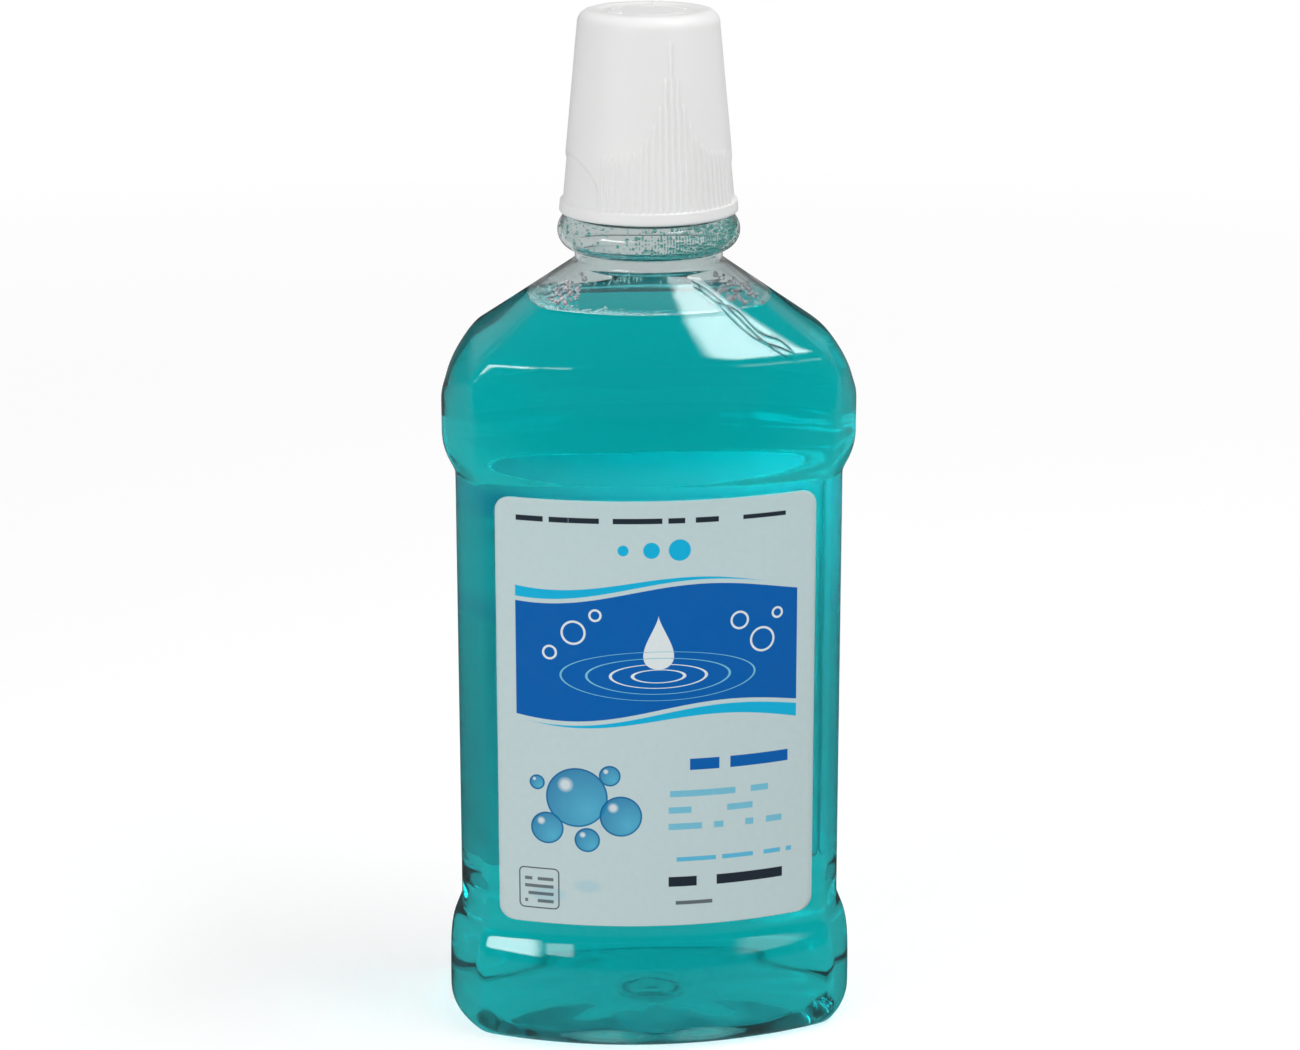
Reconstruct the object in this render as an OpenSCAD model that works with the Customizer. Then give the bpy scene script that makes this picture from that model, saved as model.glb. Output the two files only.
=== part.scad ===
// Flask for mouth rinse: a clear blown bottle, its rinse, two labels and a tapered dosing cap.
// Origin in the middle of the footprint on the surface it stands on, +Z up, the front faces -Y.

/* [Body] */
// Width across the two bumpers
body_w = 83.6; // [78:0.2:90]
// Depth across the two bumpers
body_d = 56.6; // [53:0.2:61]
// Radius of the bowed front and back
front_r = 76; // [70:1:90]
// Radius of the bowed sides
side_r = 36; // [33:1:41]
// Radius that joins the front to the sides
corner_r = 5; // [3:0.5:7]
// Wall of the blown body
wall = 0.7; // [0.5:0.05:0.9]
// Radius of the heel
heel_r = 3.75; // [2:0.25:4]
// Height of the lower bumper
bumper_h = 17.5; // [14:0.5:21]
// Height of the slope between the lower bumper and the label panel
lower_step_h = 6.5; // [5:0.5:8]
// How far the label panel lies inside the bumpers
panel_inset = 2.6; // [1.6:0.1:3.4]
// Height of the slope between the label panel and the chest
upper_step_h = 7; // [5:0.5:9]
// Height of the plain chest band
chest_h = 8.8; // [7:0.1:14]

/* [Base] */
// Height of the push-up in the middle of the base
push_up = 4; // [3:0.25:6]
// Radius of the gate boss
boss_r = 6; // [4:0.5:8]
// Depth of the gate boss below the push-up
boss_h = 2; // [1:0.25:2.5]
// Depth of the petals pressed into the base
petal_h = 0.9; // [0.4:0.1:1.4]
// Number of petals
petals = 7; // [5:2:11]

/* [Shoulder] */
// Height of the flat that leans in at each side
side_cut_h = 11.4; // [9:0.2:15]
// How far that flat leans in
side_cut_in = 5.6; // [4:0.2:7]
// Radius of the bow of that flat, seen from above
flat_r = 66; // [50:1:120]
// How far the front crease lies inside the bumpers
front_lean = 1.3; // [0.8:0.1:2.5]
// How far the front crease lies below the side crease
eave_drop = 0.25; // [0:0.25:3]
// Height of the roof between the crease and the neck
roof_h = 15.5; // [12:0.1:20]
// Softness of the creases
crease_soft = 1.1; // [0.6:0.1:1.5]

/* [Neck] */
// Radius of the finish below its thread
finish_r = 12.8; // [11.5:0.1:14.5]
// Wall of the finish
finish_wall = 1.8; // [1.4:0.1:2.2]
// Height of the finish above the bead
finish_h = 14.2; // [12:0.2:17]
// How far the thread stands out from the finish
thread_h = 1; // [0.8:0.05:1.2]
// How far the narrow ring on the roof stands outside the finish
ring_out = 1.95; // [1.9:0.05:2.7]
// Height of the narrow ring
ring_h = 1.9; // [1.5:0.1:2.5]
// Wall of the narrow ring and the bead
neck_wall = 0.9; // [0.7:0.05:1]
// How far the hollow bead stands outside the narrow ring
bead_out = 3.45; // [2.6:0.05:3.6]
// Radius of the bead's own round
bead_round = 3.9; // [3.4:0.1:4.4]
// Radius on the rim
rim_soft = 0.5; // [0.3:0.1:0.7]

/* [Cap] */
// Height of the cap
cap_h = 39.9; // [36:0.1:46]
// How far the rim band lies inside the bead
rim_step = 0.4; // [0:0.05:0.6]
// How much narrower the top is than the side above the rim band, in radius
cap_taper = 3.75; // [3:0.05:4.5]
// Wall of the cap
cap_wall = 1.2; // [1:0.05:1.3]
// Radius on the edge of the top
cap_soft = 2.7; // [2:0.1:3.2]
// Height of the rim band
rim_band_h = 2.5; // [2:0.1:3.5]
// Gap between the cap's rim and the bead
rim_gap = 0.35; // [0.3:0.05:0.8]
// Wall of the threaded skirt
skirt_wall = 1.1; // [0.9:0.05:1.3]
// Gap between the thread and the threaded skirt
thread_gap = 0.3; // [0.3:0.05:0.5]
// Gap between the lock teeth and the threaded skirt
skirt_gap = 0.6; // [0.4:0.1:1.5]
// Thickness of the ledge over the seal
ledge_t = 1.2; // [1:0.1:1.6]
// How much wider the opening into the cup is than the bore, in radius
mouth_step = 0.2; // [0:0.05:0.6]

/* [Grip] */
// Number of ribs in each of the two rib fields
ribs = 23; // [11:2:27]
// Angle between ribs
rib_pitch = 4.5; // [3.6:0.1:4.6]
// How far a rib stands out
rib_h = 0.25; // [0.15:0.05:0.4]
// Width of a rib
rib_w = 0.7; // [0.4:0.05:0.9]
// Height of the outermost ribs above the rim band
rib_low = 11; // [8:0.5:14]
// Smooth height of the cap above its middle rib
rib_head = 10.4; // [6:0.2:16]
// Turn of the rib fields from the front
grip_turn = 20; // [0:1:45]
// Depth of the squeeze pads
pad_depth = 0.3; // [0.15:0.05:0.45]
// Width of the squeeze pads
pad_w = 21; // [16:0.5:23]
// Height of the squeeze pads
pad_h = 10; // [7:0.5:12]
// Height of the lock lugs and lock teeth
lock_h = 1.4; // [1:0.1:1.6]
// Gap between a lug and a tooth
lock_gap = 0.3; // [0.3:0.05:0.5]

/* [Seal] */
// Thickness of the seal ring
seal_t = 1; // [0.8:0.1:1.5]
// Gap round the seal ring
seal_gap = 0.4; // [0.3:0.05:0.6]

/* [Labels] */
// Width of the front label, measured straight across
label_w = 63.8; // [50:0.2:65]
// Height of the front label
label_h = 89.3; // [60:0.1:110]
// Width of the back label, measured straight across
back_label_w = 63.8; // [50:0.2:65]
// Corner radius of the labels
label_r = 3; // [1:0.25:5]
// Thickness of the labels
label_t = 0.12; // [0.08:0.02:0.2]
// Layer of glue under the labels
glue_t = 0.05; // [0.05:0.01:0.1]
// Bare strip of panel below the labels
label_foot = 2.4; // [0.5:0.1:6]
// Bare strip of panel above the labels
label_head = 0.5; // [0.3:0.1:6]

/* [Fill] */
// Height of the rinse above the side crease
fill_over = 8.3; // [4:0.1:9]
// Gap between the rinse and the wall
fill_gap = 0.05; // [0.03:0.01:0.1]

/* [Hidden] */
$fn = 96;
// Overrun of every cut
cut_over = 1;
// How deep the blown body's collar hides in the wall of the neck
collar_bite = 0.06;
// Height of that collar
collar_h = 1.2;

// Steps in a quarter of a section: side arc, corner arc, front arc
side_steps = 4;
corner_steps = 4;
front_steps = 6;
quarter_steps = side_steps + corner_steps + front_steps;
ring_steps = 4 * quarter_steps;
// Where the corner arc begins and ends on the round neck, in degrees from the side
hip_start = 9;
hip_end = 21;

// Rings round the heel, in degrees: 90 on the ground and 0 at the side
heel_angles = [90, 67, 45, 23, 0];
// Slope above the lower bumper, in shares of its height and of the panel inset
lower_step_shares = [[0.2, 0.26], [0.86, 0.93], [1, 1]];
// Slope below the chest, in shares of its height and of the panel inset
upper_step_shares = [[0, 1], [0.07, 0.95], [0.48, 0.36], [0.72, 0.12], [1, 0]];
// Belly of the lower bumper, in shares of its height and of the panel inset
bumper_shares = [[0.5, 0], [0.8, 0.04], [0.94, 0.11]];
// Rings of the base, as shares of the footprint, and their height as shares of the push-up
base_shares = [[0.96, 0], [0.91, 0.24], [0.84, 0.54], [0.7, 0.82], [0.54, 0.97], [0.38, 1]];
// Strength of the petals on the same rings
petal_shares = [0, 0.1, 0.6, 1, 0.8, 0.3];
// Rings of the boss, as shares of its radius, and their depth as shares of its height
boss_shares = [[1.15, 0], [1, 0.5], [0.85, 0.95], [0.45, 1]];
// How gently the leaning flats start out of the chest
flat_ease_power = 1.65;
// Heights of the rings over the leaning flats and over the roof
cut_shares = [0.2, 0.4, 0.6, 0.8];
roof_shares = [0.3, 0.55, 0.8, 0.94];
// How far from a crease its soft edge begins, as shares of the two faces it joins
eave_soft_shares = [0.93, 0.06];
// Soft edge under the bead, as a share of the creases' softness
ring_soft_share = 0.2;
// Where the bead runs into the finish, as a share of the neck's wall
neck_blend_share = 0.8;
// Height at which a lock tooth starts to slope, as a share of its height
tooth_slope_share = 0.6;
// Width of a rib's flat back and the depth of its root, as shares of its width and of the cap's wall
rib_back_share = 0.4;
rib_root_share = 0.33;
// Straight side of a squeeze pad below its arch, as a share of its height
pad_side_share = 0.2;
// How sharply the rib tops rise to their arch
rib_arch_power = 4;
// Angles taken up by a lock tooth, a lock lug and the play between them
tooth_angle = 9;
lug_angle = 7;
lock_play_angle = 9;
// Steps in the bead's arc
bead_steps = 14;

// Radii of the neck and the cap, each stepped off the finish
bore_r = finish_r - finish_wall;
thread_r = finish_r + thread_h;
ring_r = finish_r + ring_out;
bead_r = ring_r + bead_out;
bead_mid_r = bead_r - bead_round;
cap_rim_r = bead_r - rim_step;
cap_top_r = cap_rim_r - rib_h - cap_taper;
cap_in_r = cap_rim_r - rib_h - cap_wall;
cup_mouth_r = bore_r + mouth_step;
skirt_r = thread_r + thread_gap;
lug_r = cap_in_r - lock_gap * 2;

// Levels
panel_h = label_foot + label_h + label_head;
panel_z = bumper_h + lower_step_h;
waist_z = panel_z + panel_h;
chest_z = waist_z + upper_step_h;
cut_z = chest_z + chest_h;
eave_z = cut_z + side_cut_h;
neck_z = eave_z + roof_h;
fill_z = eave_z + fill_over;
bead_z = neck_z + ring_h + bead_round + crease_soft * ring_soft_share;
bead_top_z = bead_z + bead_round;
rim_z = bead_top_z + finish_h;
ledge_z = rim_z + seal_t;
skirt_z = bead_top_z + lock_h + skirt_gap;
cap_z = bead_z + sqrt(bead_round * bead_round - pow(cap_in_r - bead_mid_r, 2)) + rim_gap;
cap_top_z = cap_z + cap_h;
band_z = cap_z + rim_band_h;
rib_high = cap_h - rim_band_h - rib_head;
cap_slope = cap_taper / cap_h;
cap_lean = atan(cap_slope);

function mix(a, b, t) = a + (b - a) * t;
// Smaller of two numbers, with a soft change from one to the other
function soft_min(a, b, k) = (a + b - sqrt((a - b) * (a - b) + k * k)) / 2;

// Quarter of a section with bowed front, bowed side and a corner arc that touches both
function quarter(w, d, rc) =
    let (fy = d - front_r, sx = w - side_r)
    let (a = front_r - rc, b = side_r - rc, span = norm([sx, fy]))
    let (along = (a * a - b * b + span * span) / (2 * span))
    let (across = sqrt(a * a - along * along))
    let (cx = (along * sx - across * fy) / span)
    let (cy = fy - (along * fy + across * sx) / span)
    let (side_a = atan2(cy, cx - sx), front_a = atan2(cy - fy, cx))
    concat(
        [for (i = [0 : side_steps - 1])
            let (t = side_a * i / side_steps) [sx + side_r * cos(t), side_r * sin(t)]],
        [for (i = [0 : corner_steps - 1])
            let (t = mix(side_a, front_a, i / corner_steps)) [cx + rc * cos(t), cy + rc * sin(t)]],
        [for (i = [0 : front_steps])
            let (t = mix(front_a, 90, i / front_steps)) [front_r * cos(t), fy + front_r * sin(t)]]
    );

// Quarter of a circle whose points match those of a section
function round_quarter(r) =
    let (angles = concat(
        [for (i = [0 : side_steps - 1]) hip_start * i / side_steps],
        [for (i = [0 : corner_steps - 1]) mix(hip_start, hip_end, i / corner_steps)],
        [for (i = [0 : front_steps]) mix(hip_end, 90, i / front_steps)]
    ))
    [for (t = angles) r * [cos(t), sin(t)]];

// Whole ring from a quarter, with its height at the sides and at the front
function ring(q, side_z, front_z) =
    let (rise = [for (i = [0 : quarter_steps])
        mix(side_z, front_z, min(1, max(0, (i - side_steps) / corner_steps)))])
    concat(
        [for (i = [0 : quarter_steps - 1]) [q[i].x, q[i].y, rise[i]]],
        [for (i = [quarter_steps : -1 : 1]) [-q[i].x, q[i].y, rise[i]]],
        [for (i = [0 : quarter_steps - 1]) [-q[i].x, -q[i].y, rise[i]]],
        [for (i = [quarter_steps : -1 : 1]) [q[i].x, -q[i].y, rise[i]]]
    );

// Ring of the body at a height, set in from the bumpers
function body_ring(z, inset) =
    ring(quarter(body_w / 2 - inset, body_d / 2 - inset, corner_r), z, z);

// Ring through the leaning side flats, from the chest at 0 to the crease at 1
function cut_ring(t) =
    let (q = quarter(body_w / 2, body_d / 2 - front_lean * t, mix(corner_r, corner_r / 2, t)))
    let (x = body_w / 2 - side_cut_in * pow(t, flat_ease_power))
    let (k = crease_soft * (t > 0 ? 1 : 0))
    ring([for (p = q) [soft_min(p.x, x - p.y * p.y / 2 / flat_r, k), p.y]],
        mix(cut_z, eave_z, t), mix(cut_z, eave_z - eave_drop, t));

// Ring of the roof, from the crease at 0 to the neck at 1
function roof_ring(t) =
    let (low = cut_ring(1), high = ring(round_quarter(ring_r - collar_bite), neck_z, neck_z))
    [for (i = [0 : ring_steps - 1]) mix(low[i], high[i], t)];

// Ring of the base, a share of the footprint, lifted by the push-up and the petals
function base_ring(share, rise, petal) =
    let (foot = body_ring(0, heel_r))
    [for (p = foot)
        let (wave = (1 + cos(petals * atan2(p.y, p.x) - 90)) / 2)
        [p.x * share, p.y * share, push_up * rise - petal_h * petal * wave * rise]];

function boss_ring(share, depth) =
    [for (p = ring(round_quarter(boss_r * share), push_up, push_up)) p - [0, 0, boss_h * depth]];

// Rings of the outer skin, from the middle of the base to the neck
outer_rings = concat(
    [for (i = [len(boss_shares) - 1 : -1 : 0]) boss_ring(boss_shares[i][0], boss_shares[i][1])],
    [for (i = [len(base_shares) - 1 : -1 : 0])
        base_ring(base_shares[i][0], base_shares[i][1], petal_shares[i])],
    [for (a = heel_angles) body_ring(heel_r * (1 - sin(a)), heel_r * (1 - cos(a)))],
    [for (s = bumper_shares) body_ring(bumper_h * s[0], panel_inset * s[1])],
    [for (s = lower_step_shares) body_ring(bumper_h + lower_step_h * s[0], panel_inset * s[1])],
    [body_ring(panel_z + panel_h / 2, panel_inset)],
    [for (s = upper_step_shares) body_ring(waist_z + upper_step_h * s[0], panel_inset * s[1])],
    [cut_ring(0)],
    [for (t = cut_shares) cut_ring(t)],
    [cut_ring(eave_soft_shares[0]), roof_ring(eave_soft_shares[1])],
    [for (t = roof_shares) roof_ring(t)],
    [roof_ring(1)]
);
ring_count = len(outer_rings);

// Outward direction at a point of the skin, from its neighbours
function outward(rings, j, i) =
    let (n = ring_steps, last = len(rings) - 1)
    let (round_way = rings[j][(i + 1) % n] - rings[j][(i + n - 1) % n])
    let (up_way = rings[min(j + 1, last)][i] - rings[max(j - 1, 0)][i])
    let (v = cross(round_way, up_way))
    v / norm(v);

// Rings moved inwards by a wall thickness
function inset_rings(rings, depth) =
    [for (j = [0 : len(rings) - 1]) [for (i = [0 : ring_steps - 1])
        rings[j][i] - depth * outward(rings, j, i)]];

// Quads between the rings of a skin, the first ring at point number first
function skin_faces(first, rows, flip) =
    [for (j = [0 : rows - 2], i = [0 : ring_steps - 1], side = [0, 1])
        let (a = first + j * ring_steps + i, b = first + j * ring_steps + (i + 1) % ring_steps)
        let (c = b + ring_steps, d = a + ring_steps)
        let (f = side == 0 ? [a, c, b] : [a, d, c])
        flip ? [f[2], f[1], f[0]] : f];

// Fan from a ring to one point in its middle
function fan_faces(first, middle, flip) =
    [for (i = [0 : ring_steps - 1])
        let (f = [first + i, first + (i + 1) % ring_steps, middle])
        flip ? [f[2], f[1], f[0]] : f];

function flat(lists) = [for (l = lists) for (p = l) p];

// Ring where the columns of a skin cross a level
function level_ring(rings, z) =
    [for (i = [0 : ring_steps - 1])
        let (j = max([for (k = [0 : len(rings) - 2]) rings[k][i].z < z ? k : 0]))
        let (t = (z - rings[j][i].z) / (rings[j + 1][i].z - rings[j][i].z))
        mix(rings[j][i], rings[j + 1][i], t)];

function arc(cx, cy, r, from, to, steps) =
    [for (i = [0 : steps]) let (t = mix(from, to, i / steps)) [cx + r * cos(t), cy + r * sin(t)]];

// Blown body, with a collar that reaches up into the wall of the neck
module blown_body() {
    inner_r = ring_r - neck_wall + collar_bite;
    inner = inset_rings(outer_rings, wall);
    collar_out = ring(round_quarter(ring_r - collar_bite), neck_z + collar_h, neck_z + collar_h);
    collar_in = ring(round_quarter(inner_r), neck_z + collar_h, neck_z + collar_h);
    throat = ring(round_quarter(inner_r), neck_z, neck_z);
    outside = concat(outer_rings, [collar_out]);
    inside = concat([for (j = [0 : ring_count - 2]) inner[j]], [throat, collar_in]);
    rows = ring_count + 1;
    n = rows * ring_steps;
    boss_z = push_up - boss_h;
    points = concat(flat(outside), flat(inside), [[0, 0, boss_z], [0, 0, boss_z + wall]]);
    top = [for (i = [0 : ring_steps - 1], side = [0, 1])
        let (a = n - ring_steps + i, b = n - ring_steps + (i + 1) % ring_steps)
        side == 0 ? [a, a + n, b + n] : [a, b + n, b]];
    polyhedron(points, concat(
        skin_faces(0, rows, false),
        skin_faces(n, rows, true),
        top,
        fan_faces(0, 2 * n, false),
        fan_faces(n, 2 * n + 1, true)
    ), convexity = 6);
}

// Neck with its narrow ring, hollow bead and finish, turned in one piece
module neck() {
    in_round = bead_round - neck_wall;
    ring_in = ring_r - neck_wall;
    out_a = -acos((ring_r - bead_mid_r) / bead_round);
    in_a = -acos((ring_in - bead_mid_r) / in_round);
    neck_blend = neck_wall * neck_blend_share;
    rotate_extrude() polygon(concat(
        [[ring_in, neck_z], [ring_r, neck_z]],
        arc(bead_mid_r, bead_z, bead_round, out_a, 90, bead_steps),
        [[finish_r, bead_top_z + neck_blend]],
        arc(finish_r - rim_soft, rim_z - rim_soft, rim_soft, 0, 90, 3),
        arc(bore_r + rim_soft, rim_z - rim_soft, rim_soft, 90, 180, 3),
        [[bore_r, bead_top_z + neck_blend]],
        arc(bead_mid_r, bead_z, in_round, 90, in_a, bead_steps)
    ));
}

// Stops that hold the cap until it is squeezed
module lock_teeth() {
    out_r = lug_r - lock_gap;
    root_r = finish_r - neck_wall / 2;
    root_z = bead_top_z - neck_wall / 2;
    for (a = [0, 180]) {
        rotate([0, 0, a + grip_turn - 90 + lock_play_angle])
            rotate_extrude(angle = tooth_angle)
                polygon([
                    [root_r, root_z],
                    [out_r, root_z],
                    [out_r, bead_top_z + lock_h * tooth_slope_share],
                    [out_r - lock_h / 2, bead_top_z + lock_h],
                    [root_r, bead_top_z + lock_h]
                ]);
    }
}

module bottle() {
    color([0.86, 0.93, 0.94, 0.35]) union() {
        blown_body();
        neck();
        lock_teeth();
    }
}

module mouthwash() {
    skin = inset_rings(outer_rings, wall + fill_gap);
    full = len([for (r = skin) if (max([for (p = r) p.z]) < fill_z) 1]);
    rings = concat([for (j = [0 : full - 1]) skin[j]], [level_ring(skin, fill_z)]);
    rows = len(rings);
    n = rows * ring_steps;
    points = concat(flat(rings), [[0, 0, push_up - boss_h + wall + fill_gap], [0, 0, fill_z]]);
    color([0.0, 0.66, 0.68, 0.8])
        polyhedron(points, concat(
            skin_faces(0, rows, false),
            fan_faces(0, n, false),
            fan_faces(n - ring_steps, n + 1, true)
        ), convexity = 4);
}

// Sheet that follows the bowed panel, on the front side
module label(w) {
    centre_y = front_r - body_d / 2 + panel_inset;
    low_z = panel_z + label_foot;
    intersection() {
        translate([0, centre_y, low_z]) difference() {
            cylinder(h = label_h, r = front_r + glue_t + label_t, $fn = 360);
            translate([0, 0, -cut_over])
                cylinder(h = label_h + 2 * cut_over, r = front_r + glue_t, $fn = 360);
        }
        translate([0, 0, low_z + label_h / 2]) rotate([90, 0, 0]) linear_extrude(body_d)
            rounded_plate(w, label_h, label_r);
    }
}

// Rectangle with arcs at its corners
module rounded_plate(w, h, r) {
    polygon(concat(
        arc(w / 2 - r, h / 2 - r, r, 0, 90, 8),
        arc(r - w / 2, h / 2 - r, r, 90, 180, 8),
        arc(r - w / 2, r - h / 2, r, 180, 270, 8),
        arc(w / 2 - r, r - h / 2, r, 270, 360, 8)
    ));
}

module front_label() {
    color("whitesmoke") label(label_w);
}

module back_label() {
    color("whitesmoke") rotate([0, 0, 180]) label(back_label_w);
}

module seal_ring() {
    color("gainsboro") translate([0, 0, rim_z]) difference() {
        cylinder(h = seal_t, r = thread_r + thread_gap - seal_gap);
        translate([0, 0, -cut_over]) cylinder(h = seal_t + 2 * cut_over, r = cup_mouth_r);
    }
}

// Radius of the sloping side at a height
function side_r_at(z) = cap_top_r + (cap_top_z - z) * cap_slope;
// Height at which the inside of the sloping side has a radius
function inside_z_at(r) = cap_top_z - (r + cap_wall - cap_top_r) / cap_slope;

// Cup, threaded skirt and ledge, turned in one piece
module cap_shell() {
    top_edge_z = cap_top_z - cap_soft;
    soft_r = side_r_at(top_edge_z) - cap_soft;
    in_soft = cap_soft - cap_wall;
    in_top_z = cap_top_z - cap_wall;
    fork_z = inside_z_at(skirt_r + skirt_wall) - skirt_wall;
    rotate_extrude() polygon(concat(
        [[cap_in_r, cap_z]],
        arc(cap_rim_r - rim_soft, cap_z + rim_soft, rim_soft, -90, 0, 4),
        [[cap_rim_r, band_z - rib_h], [side_r_at(band_z), band_z]],
        arc(soft_r, top_edge_z, cap_soft, cap_lean, 90, 8),
        [[0, cap_top_z], [0, in_top_z]],
        arc(soft_r, in_top_z - in_soft, in_soft, 90, cap_lean, 6),
        [
            [side_r_at(ledge_z + ledge_t) - cap_wall, ledge_z + ledge_t],
            [cup_mouth_r, ledge_z + ledge_t],
            [cup_mouth_r, ledge_z],
            [skirt_r, ledge_z],
            [skirt_r, skirt_z],
            [skirt_r + skirt_wall, skirt_z],
            [skirt_r + skirt_wall, fork_z],
            [side_r_at(fork_z) - cap_wall, fork_z]
        ]
    ));
}

// Grip rib with a sloping back, standing on the rim band
module rib(h) {
    root = cap_wall * rib_root_share;
    back = rib_w * rib_back_share;
    translate([side_r_at(band_z), 0, band_z]) rotate([0, -cap_lean, 0])
        translate([0, 0, -rib_h]) linear_extrude(h)
            polygon([
                [-root, -rib_w / 2],
                [0, -rib_w / 2],
                [rib_h, -back / 2],
                [rib_h, back / 2],
                [0, rib_w / 2],
                [-root, rib_w / 2]
            ]);
}

// Two fields of ribs whose tops follow a pointed arch
module grip_ribs() {
    half = (ribs - 1) / 2;
    for (field = [0, 180], i = [-half : half]) {
        rotate([0, 0, field + grip_turn - 90 + i * rib_pitch])
            rib(mix(rib_low, rib_high, pow(1 - abs(i) / half, rib_arch_power)));
    }
}

// Shallow hollow for a finger, with an arched top
module squeeze_pad() {
    side_h = pad_h * pad_side_share;
    arch_h = pad_h - side_h;
    difference() {
        rotate([90, 0, 90]) linear_extrude(cap_rim_r * 2)
            polygon(concat(
                [[-pad_w / 2, band_z], [pad_w / 2, band_z]],
                [for (a = [0 : 7.5 : 180])
                    [pad_w / 2 * cos(a), band_z + side_h + arch_h * sin(a)]]
            ));
        translate([0, 0, cap_z])
            cylinder(h = cap_h, r1 = side_r_at(cap_z) - pad_depth, r2 = cap_top_r - pad_depth);
    }
}

// Lugs inside the skirt that meet the lock teeth
module lock_lugs() {
    low_z = bead_top_z + rim_gap;
    for (a = [0, 180]) {
        rotate([0, 0, a + grip_turn - 90 - lug_angle / 2])
            rotate_extrude(angle = lug_angle)
                polygon([
                    [lug_r, low_z],
                    [cap_in_r + rib_h, low_z],
                    [cap_in_r + rib_h, low_z + lock_h],
                    [lug_r, low_z + lock_h]
                ]);
    }
}

module dosing_cap() {
    color("white") union() {
        difference() {
            cap_shell();
            for (a = [0, 180]) rotate([0, 0, a + grip_turn]) squeeze_pad();
        }
        grip_ribs();
        lock_lugs();
    }
}

bottle();
mouthwash();
front_label();
back_label();
seal_ring();
dosing_cap();
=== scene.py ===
"""Looks of a clear flask of mouth rinse with two labels and a tapered dosing cap."""

import math

import bpy
import numpy as np
from mathutils import Matrix, Vector


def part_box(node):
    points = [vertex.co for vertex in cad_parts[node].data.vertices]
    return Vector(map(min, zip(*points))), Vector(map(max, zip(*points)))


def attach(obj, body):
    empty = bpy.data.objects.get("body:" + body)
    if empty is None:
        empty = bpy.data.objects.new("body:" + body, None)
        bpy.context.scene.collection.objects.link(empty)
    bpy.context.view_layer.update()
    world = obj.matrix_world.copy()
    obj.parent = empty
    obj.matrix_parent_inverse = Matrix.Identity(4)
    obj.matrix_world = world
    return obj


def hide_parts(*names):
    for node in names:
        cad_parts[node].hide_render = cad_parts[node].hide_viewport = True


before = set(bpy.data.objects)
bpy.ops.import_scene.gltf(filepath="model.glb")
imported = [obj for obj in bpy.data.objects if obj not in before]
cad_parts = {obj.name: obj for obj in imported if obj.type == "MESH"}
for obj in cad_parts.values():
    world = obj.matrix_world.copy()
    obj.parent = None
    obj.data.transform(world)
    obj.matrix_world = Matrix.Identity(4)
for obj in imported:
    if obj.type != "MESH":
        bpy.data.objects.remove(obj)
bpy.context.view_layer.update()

MM = 0.001
SEED = 20


def box_mm(node):
    """Lowest and highest corner of a node, in millimetres."""
    low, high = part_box(node)
    return np.array(low) / MM, np.array(high) / MM


# Sizes that the frame gives
flask_low, flask_high = box_mm("bottle")
rinse_high = box_mm("mouthwash")[1]
label_low, label_high = box_mm("front_label")
back_low, back_high = box_mm("back_label")
seal_low, seal_high = box_mm("seal_ring")
cap_low, cap_high = box_mm("dosing_cap")

BODY_W = flask_high[0] - flask_low[0]
BODY_D = flask_high[1] - flask_low[1]
RIM_Z = flask_high[2]
FILL_Z = rinse_high[2]
CAP_Z = cap_low[2]
CAP_TOP_Z = cap_high[2]
CAP_RIM_R = cap_high[0]

# Sizes of the blown body, from the base up
FRONT_R = 76.0
SIDE_R = 36.0
CORNER_R = 5.0
WALL = 0.7
HEEL_R = 3.75
BUMPER_H = 17.5
LOWER_STEP_H = 6.5
PANEL_H = 92.2
PANEL_INSET = 2.6
UPPER_STEP_H = 7.0
CHEST_H = 8.8
ROOF_H = 15.5

# Push-up of the base, with petals round a boss that hangs in its middle
PUSH_UP = 4.0
BOSS_R = 6.0
BOSS_H = 2.0
PETAL_H = 0.9
PETALS = 7

# Side flats that lean in from the chest to the eaves of the roof
SIDE_CUT_H = 11.4
SIDE_CUT_IN = 5.6
FLAT_R = 66.0
FLAT_EASE = 1.65
CREASE_SOFT = 1.1
FRONT_LEAN = 1.3
EAVE_DROP = 0.25

# Sizes of the neck
FINISH_R = 12.8
FINISH_WALL = 1.8
FINISH_H = 14.2
RIM_SOFT = 0.5
NECK_WALL = 0.9
FINISH_BLEND = NECK_WALL * 0.8
RING_R = FINISH_R + 1.95
BEAD_R = RING_R + 3.45
BEAD_ROUND = 3.9
BEAD_MID_R = BEAD_R - BEAD_ROUND

# Screw thread of the finish and the cap, with its length and run-out in turns
THREAD_H = 1.0
THREAD_HALF_W = 1.2
THREAD_GAP = 0.3
THREAD_PITCH = 4.233
THREAD_TURNS = 1.5
THREAD_RUN_OUT = 0.08

# Rinse: depth of its skin in the wall, its edge below the fill level, and its meniscus
WET_DEPTH = 0.45
EDGE_DROP = 0.2
MENISCUS_H = 1.0
MENISCUS_REACH = 1.4

# Label films: how far their two sides lie off the panel, and the radius of their corners
FILM_OUT = 0.17
FILM_IN = 0.12
LABEL_CORNER = 3.0

# Sizes of the cap
CAP_WALL = 1.2
CAP_SOFT = 2.7
CAP_TAPER = 3.75
RIM_BAND_H = 2.5
BAND_SOFT = 0.35
TOP_DISH = 0.35
SKIRT_WALL = 1.1
SKIRT_CLEAR = 0.6
LEDGE_T = 1.2
MOUTH_STEP = 0.2
BEVEL = 0.2

# Ribs, with their pitch in degrees, squeeze pads and turning arrows of the cap
RIBS_HALF = 11
RIB_PITCH = 4.5
RIB_H = 0.25
RIB_W = 0.7
RIB_LOW = 11.0
RIB_HIGH = 33.0
RIB_END = 0.9
PAD_DEPTH = 0.3
PAD_W = 21.0
PAD_H = 10.0
MARK_R = 7.4
MARK_H = 0.22

# Degrees by which the ribs and pads are turned from the flask's front
RIB_TURN = 13.0

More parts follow.
